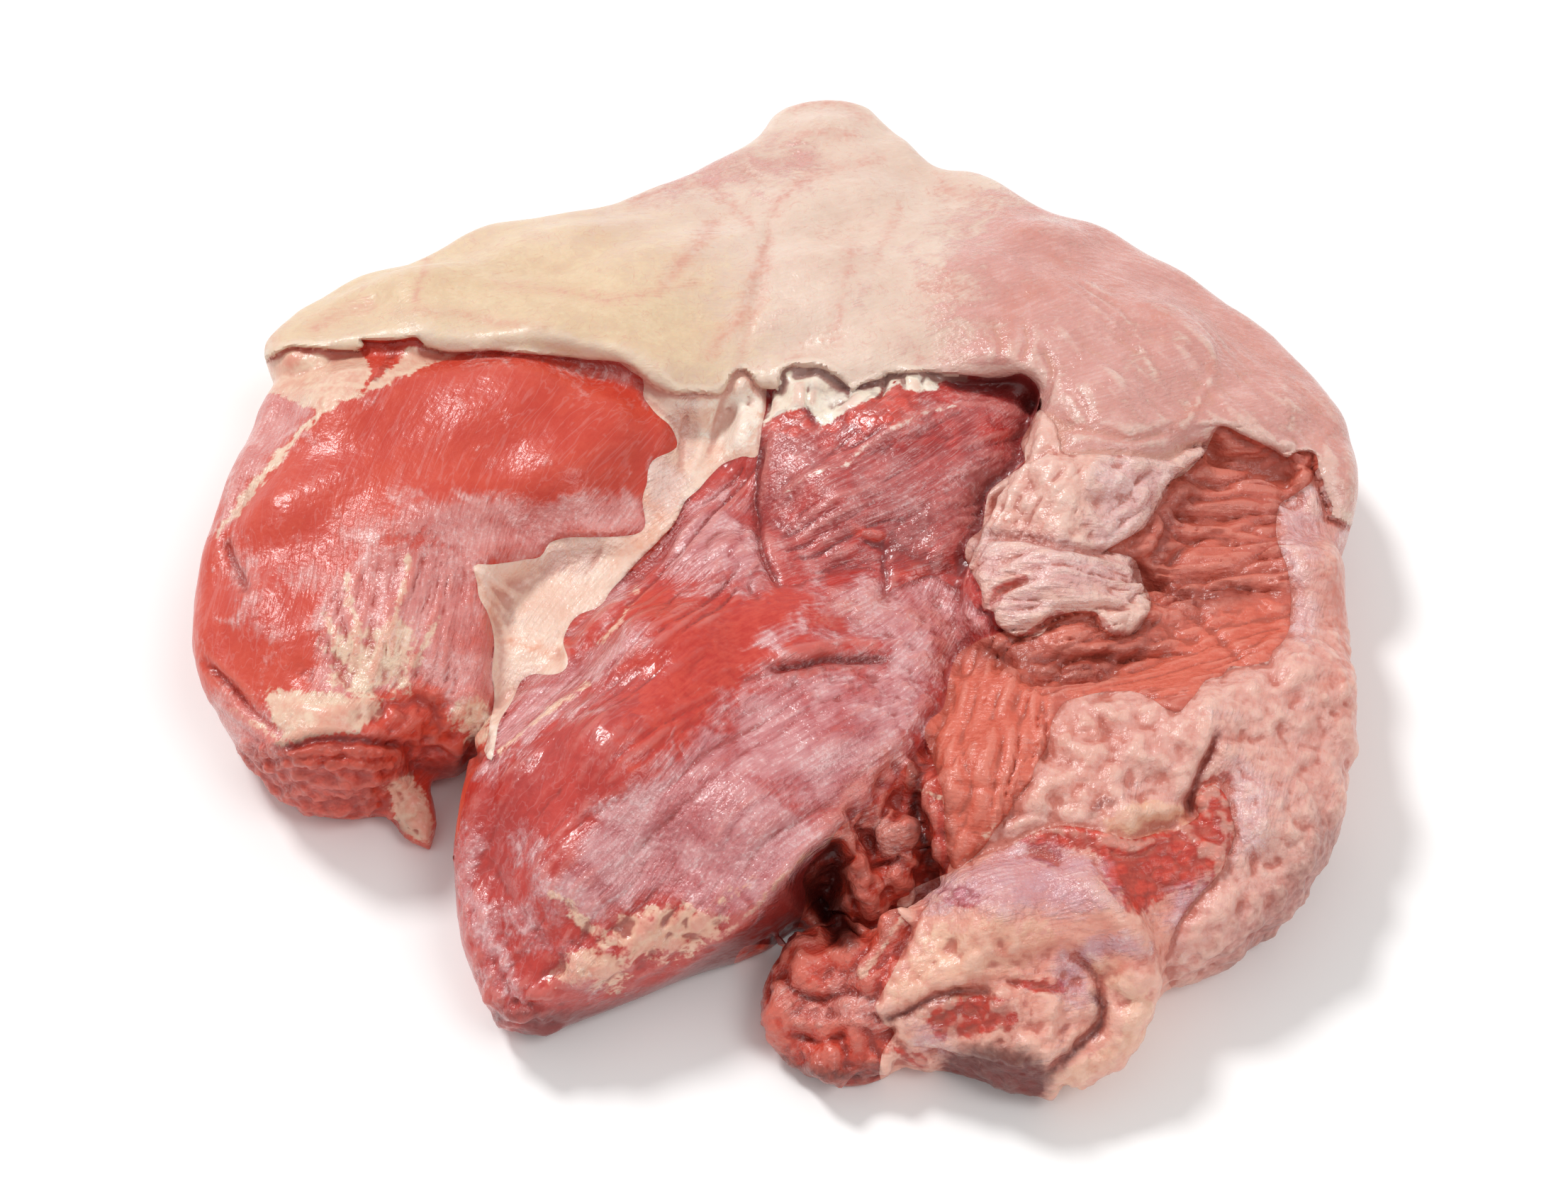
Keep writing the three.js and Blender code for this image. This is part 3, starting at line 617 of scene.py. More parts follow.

# %% [markdown]
# ## Wrinkles and lumps
# Wet lean that has drawn together lies in wrinkles, and cut fat is lumpy. Wrinkles are noise that is
# stretched along one direction and folded at zero, which leaves sharp valleys between round ridges. Each
# field has an outline in the photo, so it stays where the photo shows it. Last of all each point stores how
# far it lies below the mean of its surroundings. The materials turn that number into painted shade, darker
# colour in hollows, where fluids also gather, and into a painted highlight, lighter colour on crests.

# %% Fields
# Height, spacing and length in mm, then the angle in plan and the outline.
WRINKLES = {
    "upper wrinkles": (5.0, 5.0, 24, 0.05, [
        (1590, 800), (1640, 690), (1710, 600), (1860, 640), (1830, 700), (1800, 740), (1820, 830), (1640, 850),
    ]),
    "middle wrinkles": (5.0, 4.4, 12, 0.3, [
        (1390, 900), (1440, 870), (1560, 850), (1620, 810), (1700, 840), (1690, 900), (1640, 930),
        (1550, 965), (1470, 975), (1400, 935),
    ]),
    "fine wrinkles": (2.6, 3.6, 26, 1.35, [
        (1310, 1050), (1340, 950), (1400, 920), (1470, 970), (1480, 1050), (1450, 1110), (1390, 1200),
        (1345, 1230), (1330, 1130),
    ]),
    "thin wrinkles": (2.2, 3.4, 22, 0.35, [
        (1480, 970), (1560, 960), (1640, 930), (1700, 870), (1800, 840), (1810, 900), (1700, 970),
        (1640, 990), (1560, 975),
    ]),
    "wrinkles of the roll": (2.6, 5.0, 22, 0.0, [
        (1380, 770), (1460, 765), (1560, 785), (1616, 810), (1610, 880), (1560, 870), (1460, 880), (1390, 840),
    ]),
    "folds of the upper flap": (2.4, 6.0, 20, 0.9, [
        (1450, 600), (1500, 640), (1620, 650), (1600, 760), (1400, 750), (1400, 690),
    ]),
    "fibres of the fan": (1.4, 3.0, 30, 1.5, [
        (445, 985), (440, 900), (470, 830), (560, 780), (650, 780), (690, 900), (690, 1000), (600, 960),
    ]),
    "fibres of the inner muscle": (1.6, 5.0, 40, 0.55, [
        (1100, 640), (1300, 590), (1450, 600), (1440, 700), (1370, 800), (1250, 800), (1120, 800),
    ]),
    "fibres of the middle muscle": (1.2, 5.0, 50, 0.8, [
        (700, 1050), (900, 900), (1090, 960), (1300, 1000), (1180, 1180), (900, 1380), (700, 1420), (650, 1250),
    ]),
    "strips of the upper middle muscle": (2.6, 6.0, 30, 0.95, [
        (860, 880), (960, 740), (1060, 650), (1070, 780), (1060, 860), (940, 900),
    ]),
    "skin folds": (1.4, 6.0, 40, -0.9, [
        (1480, 420), (1560, 400), (1700, 450), (1860, 560), (1900, 700), (1800, 630), (1700, 600), (1560, 560),
    ]),
}
# Height, size and soft edge in mm, then the outline.
LUMPS = {
    "rim": (3.0, 9, 8, [
        (1500, 1000), (1560, 975), (1700, 975), (1820, 900), (1960, 900), (1960, 1250), (1720, 1420),
        (1640, 1350), (1700, 1240), (1600, 1170), (1400, 1180),
    ]),
    "slab": (3.2, 9, 6, [
        (1240, 1340), (1300, 1300), (1500, 1340), (1560, 1350), (1640, 1400), (1500, 1580), (1240, 1540),
    ]),
    "granular part": (1.4, 5, 6, [
        (1140, 840), (1250, 830), (1380, 850), (1340, 960), (1300, 1020), (1200, 1010), (1110, 960), (1250, 915),
    ]),
    "tip": (3.0, 8, 5, [
        (860, 1290), (1010, 1285), (1000, 1335), (940, 1370), (840, 1395), (760, 1380), (790, 1330),
    ]),
    "end of the tip": (3.4, 8, 5, [
        (680, 1400), (780, 1400), (800, 1430), (760, 1480), (700, 1480),
    ]),
    "ragged flesh": (5.5, 10, 5, [
        (1060, 1340), (1140, 1300), (1180, 1170), (1290, 1060), (1330, 1140), (1330, 1240), (1260, 1380),
        (1250, 1560), (1050, 1540),
    ]),
    "cut end": (3.0, 6, 3, [
        (330, 1060), (400, 1048), (470, 1040), (575, 1046), (590, 1090), (566, 1220), (320, 1220),
    ]),
    "root of the lobe": (3.0, 7, 4, [
        (520, 985), (600, 960), (690, 990), (690, 1080), (600, 1080), (570, 1040), (500, 1030),
    ]),
    "flap": (2.4, 9, 5, [
        (1450, 600), (1500, 640), (1620, 650), (1600, 760), (1400, 750), (1400, 690),
    ]),
}
# Depth and soft edge in mm, then the outline.
HOLLOWS = {
    "gap under the middle muscle": (13, 4, [
        (1122, 1240), (1150, 1204), (1178, 1190), (1190, 1230), (1186, 1270), (1204, 1320), (1180, 1332),
        (1150, 1290), (1130, 1270),
    ]),
    "cavity under the fat": (5, 2.5, [
        (1336, 536), (1385, 534), (1440, 530), (1466, 552), (1468, 582), (1440, 570), (1400, 556), (1350, 547),
    ]),
}


def in_field(skin, outline, edge):
    """One inside an outline, and sinking to zero over its edge in mm."""
    return soft_step(0.5 + skin.depth_in(curved(outline, step=20), 2 * edge) / edge / 2)


def wrinkles(places, turn, spacing, length, seed):
    """Ridges about a spacing apart that run at an angle in plan, from 0 in the valleys to 1 on top."""
    along = places[:, 0] * math.cos(turn) + places[:, 1] * math.sin(turn)
    across = places[:, 1] * math.cos(turn) - places[:, 0] * math.sin(turn)
    bent = across + 3 * noise(places, 26, seed) + noise(places, 9, seed + 1)
    grid = np.column_stack((along / length, bent / spacing, places[:, 2] / (3 * spacing)))
    return np.abs(noise(grid, 1, seed)) ** 0.6


WRINKLE_EDGE = 4
WRINKLE_MIDDLE = 0.7
FINER_WRINKLES = 0.4
SWELL, SWELL_SIZE = 0.9, 38
RIPPLE, RIPPLE_SIZE = 0.3, 10

mm = skin.mm
for seed, (height, spacing, length, turn, outline) in enumerate(WRINKLES.values(), 3):
    ridges = wrinkles(mm, turn, spacing, length, seed)
    ridges += FINER_WRINKLES * wrinkles(mm, turn, spacing / 2, length / 2, seed)
    push += height * (ridges - WRINKLE_MIDDLE) * in_field(skin, outline, WRINKLE_EDGE) * skin.shown
for seed, (height, size, edge, outline) in enumerate(LUMPS.values(), 20):
    push += height * rough_noise(mm, size, seed) * in_field(skin, outline, edge)
for depth, edge, outline in HOLLOWS.values():
    press += depth * in_field(skin, outline, edge)
push += SWELL * noise(mm, SWELL_SIZE, 11) + RIPPLE * rough_noise(mm, RIPPLE_SIZE, 12)

moved = skin.points + (push * skin.off_table)[:, None] * skin.normals / 1000
moved += (press * skin.shown * skin.off_table)[:, None] * AHEAD / 1000
moved[:, 2] = np.maximum(moved[:, 2], 0)
write_points(clay, moved)


def links_of(thing):
    """The two points of each edge, and how many edges each point has."""
    ends = np.empty(2 * len(thing.data.edges), np.int32)
    thing.data.edges.foreach_get("vertices", ends)
    return ends.reshape(-1, 2), np.bincount(ends, minlength=len(thing.data.vertices))


def neighbour_mean(values, ends, count):
    """The mean of a number over the neighbours of each point."""
    total = np.bincount(ends[:, 0], values[ends[:, 1]], len(count))
    return (total + np.bincount(ends[:, 1], values[ends[:, 0]], len(count))) / np.maximum(count, 1)


def keep_numbers(thing, name, values):
    """Stores a number for each point of a mesh."""
    attribute = thing.data.attributes.get(name) or thing.data.attributes.new(name, "FLOAT", "POINT")
    attribute.data.foreach_set("value", values.astype(np.float32))


HOLLOW_ROUNDS = 10
HOLLOW_MM = 1.4
ends, count = links_of(clay)
soft = moved.copy()
for _ in range(HOLLOW_ROUNDS):
    soft = np.column_stack([neighbour_mean(soft[:, axis], ends, count) for axis in range(3)])
sunk = ((soft - moved) * Skin(clay).normals).sum(1) * 1000
# The hollow number drives painted shade in hollows and a painted highlight on crests.
keep_numbers(clay, "hollow", np.clip(0.5 + sunk / HOLLOW_MM, 0.01, 1))
print("Hollows up to", round(sunk.max(), 1), "mm deep, and crests up to", round(-sunk.min(), 1), "mm high")
print("Pushed by", round(push.min(), 1), "to", round(push.max(), 1), "mm")

# %% [markdown]
# ## Cutting the clay
# The camera sees an outline's border along lines of sight, so the cut has to run along them too. The trick is
# to move the clay into photo space first, where a point's x and y are its pixel and its z is its depth. There
# all lines of sight are upright, and the knife is an outline extruded straight up: a circle with one corner
# for each outline point, moved onto the outline and extruded. After the cuts, each piece is moved back.

# %% Cut
PHOTO_SCALE = 0.28
NEAREST = 0.8
FARTHEST = 1.4


def to_photo_space(places):
    """Pixels and depth of places, in units of about a mm."""
    seen, size = seen_at(places)
    return np.column_stack((seen[:, 0] * PHOTO_SCALE, -seen[:, 1] * PHOTO_SCALE, -size * FOCAL))


def from_photo_space(places):
    """The places in the frame of pixels and depths."""
    depth = -places[:, 2:] / 1000
    return EYE + depth * sight(places[:, :2] * (1, -1) / PHOTO_SCALE)


def knife_for(outline):
    """An upright prism in photo space with the outline as its section."""
    corners = np.column_stack((outline * (PHOTO_SCALE, -PHOTO_SCALE), np.full(len(outline), -1000 * FARTHEST)))
    bpy.ops.object.select_all(action="DESELECT")
    bpy.ops.mesh.primitive_circle_add(vertices=len(outline), fill_type="NGON", location=(0, 0, 0))
    made = bpy.context.object
    write_points(made, corners)
    bpy.ops.object.mode_set(mode="EDIT")
    bpy.ops.mesh.select_all(action="SELECT")
    height = 1000 * (FARTHEST - NEAREST)
    bpy.ops.mesh.extrude_region_move(TRANSFORM_OT_translate={"value": (0, 0, height)})
    bpy.ops.mesh.select_all(action="SELECT")
    bpy.ops.mesh.normals_make_consistent(inside=False)
    bpy.ops.object.mode_set(mode="OBJECT")
    return made


write_points(clay, to_photo_space(moved))
pieces = {}
for name, outline in OUTLINES.items():
    knife = knife_for(outline)
    pieces[name] = copy_of(clay, name)
    modify(pieces[name], "BOOLEAN", operation="INTERSECT", object=knife, solver="MANIFOLD")
    modify(clay, "BOOLEAN", operation="DIFFERENCE", object=knife, solver="MANIFOLD")
    bpy.data.objects.remove(knife)
pieces[REST] = clay
for piece in pieces.values():
    write_points(piece, from_photo_space(read_points(piece)))
    print(piece.name, len(piece.data.polygons), "faces")

# %% [markdown]
# ## Painting the tissues
# Fat, silverskin (the thin shiny film on a muscle), bright fresh-cut lean and blood-stained blush lie in
# patches on the pieces. They are painted as numbers at each point, 0.5 at the patch's border, and the
# material turns them into tissue with an uneven border. An entry is the tissue, half the width of a stroke
# in mm or None for a filled outline, its photo pixels, and how many mm its border takes to fade. Shade is
# painted too, as dark colour: in grooves, where blood also gathers, and under an edge, where little light
# gets. The cut left new points on each rim without a hollow number, and they get the mean of their
# neighbours.

# %% Paint
PAINT = {
    "fat_cover": [
        ("film", None, [(1290, 640), (1330, 480), (1330, 380), (1380, 300), (1480, 250), (1700, 300), (2060, 560),
                        (2060, 840), (1880, 760), (1700, 700)], 45),
        ("film", 5, [(900, 250), (1000, 240), (1120, 230)], 30),
        ("fat", None, [(200, 560), (300, 380), (700, 300), (900, 330), (1010, 400), (1010, 560), (600, 500)], 60),
        ("blush", 0.8, [(588, 345), (602, 372), (590, 400), (584, 425)], 9),
        ("blush", 1.5, [(372, 492), (388, 462), (402, 440)], 16),
        ("blush", 1.5, [(445, 460), (480, 440), (520, 430)], 16),
        ("blush", 0.8, [(890, 285), (940, 266), (1000, 262), (1024, 282), (1060, 318)], 10),
        ("blush", 1.2, [(1092, 300), (1110, 275), (1140, 250), (1200, 232), (1240, 226)], 12),
        ("blush", 1.2, [(1078, 352), (1074, 368), (1084, 378)], 8),
        ("blush", 2.0, [(1066, 380), (1056, 420), (1040, 455), (1000, 500)], 14),
        ("blush", 2.5, [(940, 400), (960, 372), (985, 345), (1004, 318)], 14),
        ("blush", 0.6, [(1040, 540), (1050, 480), (1080, 400), (1086, 330)], 10),
        ("blush", 0.5, [(700, 400), (800, 412), (850, 420), (905, 416), (980, 400)], 12),
        ("blush", 0.5, [(560, 440), (640, 440), (700, 455), (770, 462)], 12),
        ("blush", 1.0, [(1176, 480), (1188, 420), (1200, 350)], 16),
        ("blush", 0.6, [(1236, 365), (1262, 310), (1270, 280)], 12),
        ("blush", 4.0, [(1312, 408), (1350, 402)], 20),
        ("blush", 1.0, [(1108, 200), (1150, 188), (1206, 192)], 14),
        ("blush", 2.0, [(1120, 150), (1180, 140), (1215, 165)], 16),
        ("blush", 2.0, [(1330, 260), (1420, 300), (1500, 370)], 20),
        ("blush", 4.0, [(1440, 500), (1420, 470), (1430, 430), (1480, 400)], 22),
        ("blush", 3.0, [(1500, 380), (1560, 400), (1640, 450)], 22),
        ("blush", 3.0, [(1690, 430), (1780, 500), (1860, 580), (1890, 680)], 22),
        ("blush", 2.0, [(1500, 600), (1600, 616), (1650, 604), (1700, 560), (1712, 500)], 12),
    ],
    "left_muscle": [
        ("fat", None, [(330, 545), (362, 515), (378, 498), (405, 488), (495, 490), (514, 500), (522, 530),
                       (500, 557), (474, 574), (452, 582), (425, 572), (400, 562), (366, 552)], 6),
        ("fat", None, [(590, 486), (664, 492), (620, 508), (588, 522), (560, 536), (528, 552), (500, 564),
                       (522, 540), (545, 525), (565, 505)], 6),
        ("fat", 0.9, [(452, 582), (420, 612), (400, 640)], 5),
        ("fat", 1.7, [(400, 640), (372, 668), (348, 700), (330, 725)], 6),
        ("fat", 0.8, [(330, 725), (312, 745), (303, 757)], 5),
        ("fat", None, [(377, 977), (430, 975), (476, 978), (520, 984), (542, 1004), (520, 1024), (497, 1031),
                       (450, 1040), (410, 1047), (388, 1022)], 7),
        ("fat", None, [(470, 905), (520, 890), (560, 880), (590, 930), (575, 965), (520, 985), (480, 975)], 26),
        ("fat", 1.0, [(578, 786), (568, 835), (554, 880), (540, 925), (527, 958)], 6),
        ("fat", 1.1, [(490, 812), (494, 850), (509, 895), (512, 940), (498, 970)], 6),
        ("fat", 0.8, [(620, 870), (598, 910), (575, 955), (552, 980)], 6),
        ("fat", 0.7, [(456, 865), (475, 910), (484, 960)], 6),
        ("fat", None, [(640, 990), (668, 980), (692, 1005), (690, 1040), (668, 1052), (648, 1030)], 14),
        ("fat", None, [(548, 1104), (580, 1096), (608, 1150), (608, 1187), (580, 1182), (556, 1150)], 8),
        ("fat", 0.7, [(330, 1000), (365, 1024), (402, 1050)], 6),
        ("film", None, [(335, 560), (365, 548), (410, 556), (444, 582), (422, 606), (396, 636), (366, 668),
                        (340, 702), (318, 735), (314, 690), (325, 640)], 9),
        ("film", None, [(590, 708), (700, 702), (800, 704), (905, 698), (918, 725), (912, 752), (800, 766),
                        (764, 790), (700, 800), (650, 785), (600, 756), (540, 745)], 9),
        ("film", 1.5, [(660, 498), (760, 503), (840, 512), (890, 532), (908, 566)], 14),
        ("film", None, [(440, 990), (444, 940), (450, 880), (466, 835), (500, 795), (560, 770), (650, 772),
                        (670, 800), (684, 850), (700, 880), (704, 930), (696, 1040), (640, 1000), (600, 965),
                        (520, 980)], 9),
        ("film", None, [(285, 980), (340, 980), (404, 1030), (404, 1052), (350, 1075), (300, 1045)], 14),
        ("film", 4.0, [(440, 800), (500, 755), (560, 740), (620, 725)], 24),
        ("film", 2.0, [(320, 760), (350, 820), (360, 880)], 26),
        ("bright", None, [(345, 1062), (400, 1050), (470, 1041), (574, 1050), (578, 1090), (552, 1130),
                          (560, 1210), (400, 1210), (330, 1110)], 6),
        ("bright", 3.0, [(585, 995), (612, 992), (625, 1015), (600, 1038)], 12),
        ("bright", 2.0, [(526, 1004), (550, 996), (575, 1016)], 10),
        ("bright", 2.4, [(512, 480), (548, 488), (592, 480)], 7),
        ("bright", 1.3, [(556, 500), (538, 520), (526, 540)], 6),
        ("bright", 2.0, [(320, 770), (334, 800), (345, 830)], 12),
        ("bright", 2.0, [(300, 950), (330, 974)], 12),
        ("shade", 2.0, [(400, 1056), (470, 1044), (560, 1050)], 8),
        ("shade", 3.0, [(560, 1180), (480, 1190), (400, 1175), (345, 1120)], 16),
        ("shade", 3.0, [(592, 1080), (640, 1085), (680, 1066)], 12),
    ],
    "seam_membrane": [
        ("blush", 2.5, [(905, 705), (930, 735), (890, 770), (870, 790)], 14),
        ("blush", 3.0, [(885, 775), (930, 760), (955, 735)], 16),
        ("blush", 1.5, [(690, 865), (700, 880), (712, 900), (750, 915), (795, 925)], 10),
        ("blush", 1.0, [(664, 800), (680, 830), (690, 860)], 8),
        ("film", None, [(770, 765), (840, 760), (842, 800), (800, 805), (755, 800)], 20),
        ("film", None, [(905, 640), (955, 640), (975, 680), (960, 720), (905, 740)], 20),
        ("film", 2.5, [(740, 960), (770, 980)], 14),
        ("film", 1.5, [(975, 560), (960, 600), (966, 640)], 14),
        ("blush", 1.0, [(1060, 640), (1030, 655), (1000, 672)], 10),
        ("fat", None, [(1010, 560), (1074, 550), (1074, 600), (1030, 640), (1000, 620)], 20),
    ],
    "middle_muscle": [
        ("shade", None, [(1180, 1190), (1134, 1228), (1097, 1262), (1040, 1314), (1002, 1350), (930, 1388),
                         (900, 1420), (967, 1400), (1060, 1370), (1110, 1350), (1160, 1290)], 6),
        ("film", None, [(1000, 1020), (944, 1085), (891, 1123), (838, 1154), (803, 1207), (780, 1262),
                        (820, 1290), (868, 1276), (944, 1268), (1005, 1296), (1066, 1288), (1126, 1232),
                        (1172, 1180), (1100, 1120)], 10),
        ("film", None, [(1096, 948), (1035, 975), (1010, 1026), (944, 1085), (1100, 1140), (1172, 1178),
                        (1294, 1047), (1309, 986), (1339, 926), (1392, 865), (1310, 820), (1250, 806),
                        (1160, 836), (1250, 925)], 24),
        ("film", None, [(690, 1010), (750, 950), (860, 890), (910, 900), (860, 960), (780, 1010), (720, 1060),
                        (690, 1100)], 22),
        ("film", None, [(940, 740), (1000, 700), (1060, 730), (1080, 800), (1020, 830), (940, 800)], 24),
        ("film", 3.0, [(860, 830), (900, 800), (950, 790)], 20),
        ("film", 2.0, [(1090, 900), (1130, 888), (1170, 895)], 14),
        ("film", 3.0, [(730, 1280), (780, 1340), (830, 1375)], 16),
        ("film", 3.0, [(665, 1180), (655, 1260), (690, 1350), (720, 1400)], 22),
        ("film", 2.0, [(740, 1180), (760, 1240), (780, 1290)], 18),
        ("fat", None, [(868, 1300), (930, 1285), (1010, 1290), (1018, 1312), (985, 1334), (940, 1350),
                       (900, 1354), (868, 1334)], 14),
        ("fat", 1.0, [(780, 1262), (820, 1298), (866, 1332), (900, 1345)], 10),
        ("fat", None, [(800, 1350), (850, 1338), (884, 1360), (870, 1390), (810, 1390), (780, 1372)], 16),
        ("fat", 0.8, [(985, 1290), (1030, 1262), (1060, 1240)], 12),
        ("fat", 0.5, [(1186, 1172), (1150, 1202), (1104, 1238), (1060, 1286), (1016, 1326)], 5),
        ("fat", 0.6, [(705, 1060), (750, 1022), (800, 985), (830, 965)], 6),
        ("fat", 0.5, [(850, 905), (880, 870), (900, 830)], 8),
        ("bright", None, [(1090, 932), (1140, 912), (1200, 900), (1250, 912), (1250, 948), (1150, 950),
                          (1100, 952)], 8),
        ("bright", None, [(800, 900), (860, 850), (1000, 830), (1150, 850), (1110, 930), (1040, 1000),
                          (960, 1070), (880, 1060), (900, 960), (830, 930)], 30),
        ("shade", None, [(1190, 1160), (1230, 1150), (1200, 1330), (1040, 1400), (900, 1480), (740, 1500),
                         (740, 1432), (850, 1412), (950, 1376), (1010, 1334), (1052, 1302), (1100, 1246),
                         (1150, 1206)], 8),
        ("shade", 2.5, [(1090, 945), (1140, 936), (1200, 932), (1250, 930)], 9),
        ("shade", 3.0, [(700, 1440), (740, 1430), (780, 1440)], 12),
        ("blush", 5.0, [(1180, 1150), (1220, 1110), (1260, 1070)], 18),
        ("blush", 3.0, [(1300, 870), (1340, 890), (1320, 940)], 24),
        ("blush", 3.0, [(1180, 860), (1240, 850)], 24),
    ],
    "inner_muscle": [
        ("fat", None, [(1076, 600), (1084, 575), (1095, 548), (1110, 500), (1250, 500), (1250, 540),
                       (1236, 560), (1210, 572), (1192, 580), (1172, 598), (1150, 596), (1140, 578),
                       (1110, 578), (1088, 590)], 5),
        ("fat", None, [(1246, 560), (1250, 500), (1340, 500), (1366, 530), (1362, 540), (1330, 538),
                       (1322, 548), (1290, 552), (1262, 540)], 5),
        ("fat", 0.2, [(1100, 700), (1150, 668), (1195, 655), (1216, 634), (1252, 611), (1300, 584), (1350, 572)], 5),
        ("film", None, [(1090, 640), (1130, 612), (1200, 630), (1300, 585), (1440, 566), (1450, 600),
                        (1300, 600), (1240, 640), (1240, 690), (1180, 700), (1090, 700)], 22),
        ("film", None, [(1180, 700), (1240, 640), (1330, 640), (1450, 610), (1440, 700), (1390, 760),
                        (1370, 800), (1280, 780), (1230, 740), (1120, 760), (1110, 730)], 16),
        ("film", 2.0, [(1110, 780), (1180, 795), (1240, 790)], 16),
        ("bright", None, [(1245, 540), (1290, 552), (1300, 600), (1240, 600), (1100, 612), (1085, 600),
                          (1110, 580), (1140, 580), (1170, 600), (1200, 580)], 12),
        ("bright", 2.0, [(1212, 750), (1246, 760)], 8),
        ("bright", 3.0, [(1264, 812), (1305, 806)], 10),
        ("shade", None, [(1336, 536), (1385, 534), (1440, 530), (1466, 552), (1468, 582), (1440, 570),
                         (1400, 556), (1350, 547)], 6),
        ("shade", 6.0, [(1300, 740), (1350, 720), (1400, 680)], 40),
        ("shade", 4.0, [(1260, 770), (1300, 790), (1350, 800), (1380, 760), (1395, 720)], 16),
        ("shade", 1.5, [(1074, 620), (1067, 680), (1070, 760), (1090, 812)], 8),
        ("shade", 1.0, [(1142, 548), (1180, 552), (1230, 546)], 12),
    ],
    "folded_flap": [
        ("film", None, [(1560, 650), (1600, 640), (1710, 630), (1690, 660), (1640, 720), (1600, 770),
                        (1540, 780), (1540, 720)], 22),
        ("film", None, [(1380, 765), (1450, 762), (1540, 780), (1600, 790), (1600, 830), (1480, 850),
                        (1430, 880), (1400, 860), (1440, 815), (1380, 820)], 16),
        ("blush", 2.0, [(1372, 790), (1380, 820), (1392, 845)], 10),
        ("blush", 2.0, [(1395, 700), (1400, 730), (1450, 745), (1500, 755)], 12),
        ("blush", 2.0, [(1460, 590), (1480, 625), (1500, 650)], 12),
        ("bright", None, [(1384, 842), (1402, 826), (1450, 808), (1450, 818), (1424, 836), (1400, 864),
                          (1380, 866)], 4),
        ("bright", 1.2, [(1440, 898), (1464, 887), (1494, 866)], 5),
        ("bright", 1.5, [(1500, 872), (1550, 874), (1580, 898), (1606, 895)], 7),
        ("shade", 2.0, [(1570, 890), (1600, 896), (1624, 870)], 8),
    ],
    "wrinkled_lean": [
        ("bright", None, [(1300, 1050), (1340, 960), (1420, 940), (1480, 1000), (1460, 1090), (1410, 1170),
                          (1350, 1240), (1320, 1120)], 24),
        ("bright", None, [(1480, 960), (1560, 960), (1700, 870), (1810, 850), (1800, 920), (1680, 980),
                          (1560, 985)], 24),
        ("shade", 4.0, [(1400, 915), (1470, 935), (1550, 935), (1620, 905)], 22),
        ("shade", 3.0, [(1600, 790), (1640, 830), (1700, 842), (1760, 834)], 12),
        ("shade", 3.0, [(1640, 790), (1650, 740), (1680, 690)], 22),
        ("shade", 2.0, [(1306, 1040), (1318, 1090), (1332, 1150), (1340, 1220)], 12),
        ("fat", 0.8, [(1376, 1206), (1390, 1180), (1400, 1166)], 8),
    ],
    "right_rim": [
        ("fat", None, [(1560, 1165), (1572, 1150), (1610, 1132), (1664, 1136), (1684, 1152), (1650, 1172),
                       (1600, 1186)], 8),
        ("blush", 6.0, [(1440, 1080), (1480, 1050), (1540, 1030)], 40),
        ("film", None, [(1795, 730), (1820, 700), (1860, 700), (1870, 760), (1850, 840), (1840, 900),
                        (1816, 900), (1822, 830), (1806, 790)], 16),
        ("film", None, [(1730, 1080), (1770, 1080), (1800, 1130), (1780, 1190), (1740, 1200)], 18),
        ("film", 4.0, [(1870, 620), (1890, 700), (1890, 760)], 20),
        ("blush", 4.0, [(1410, 1140), (1480, 1110), (1540, 1120), (1560, 1140)], 20),
        ("blush", 2.0, [(1545, 1000), (1560, 1020), (1575, 1045)], 12),
        ("blush", 4.0, [(1880, 800), (1892, 900), (1900, 1000)], 26),
        ("blush", 2.0, [(1500, 1050), (1530, 1070), (1560, 1080)], 14),
        ("blush", 2.0, [(1730, 1040), (1720, 1070), (1720, 1100)], 14),
        ("bright", 2.0, [(1690, 1140), (1702, 1106), (1726, 1096)], 8),
        ("shade", 1.5, [(1718, 1040), (1700, 1080), (1684, 1118), (1680, 1146)], 5),
        ("shade", 1.2, [(1540, 1150), (1558, 1130), (1570, 1132)], 5),
        ("shade", 6.0, [(1700, 1420), (1800, 1300), (1880, 1180)], 30),
    ],
    "near_slab": [
        ("shade", None, [(1330, 1490), (1400, 1470), (1455, 1484), (1490, 1524), (1440, 1570), (1340, 1556)], 8),
        ("shade", 0.5, [(1330, 1440), (1370, 1430), (1420, 1436)], 30),
        ("bright", None, [(1436, 1182), (1480, 1160), (1560, 1165), (1620, 1175), (1672, 1160), (1690, 1110),
                          (1726, 1105), (1746, 1170), (1732, 1215), (1700, 1255), (1640, 1262), (1612, 1290),
                          (1590, 1282), (1560, 1238), (1540, 1200), (1470, 1196)], 12),
        ("bright", None, [(1452, 1200), (1484, 1198), (1500, 1208), (1492, 1226), (1470, 1218)], 6),
        ("bright", None, [(1322, 1262), (1350, 1250), (1380, 1262), (1384, 1276), (1352, 1282), (1330, 1278)], 6),
        ("bright", None, [(1312, 1420), (1350, 1402), (1400, 1406), (1436, 1430), (1424, 1452), (1380, 1460),
                          (1330, 1466), (1306, 1444)], 7),
        ("bright", None, [(1414, 1386), (1460, 1380), (1508, 1386), (1500, 1400), (1450, 1398)], 5),
        ("bright", None, [(1330, 1500), (1380, 1496), (1440, 1500), (1470, 1530), (1440, 1580), (1370, 1560)], 12),
        ("bright", 2.0, [(1240, 1450), (1260, 1480), (1300, 1500)], 10),
        ("film", None, [(1300, 1266), (1340, 1236), (1400, 1205), (1450, 1194), (1540, 1204), (1560, 1240),
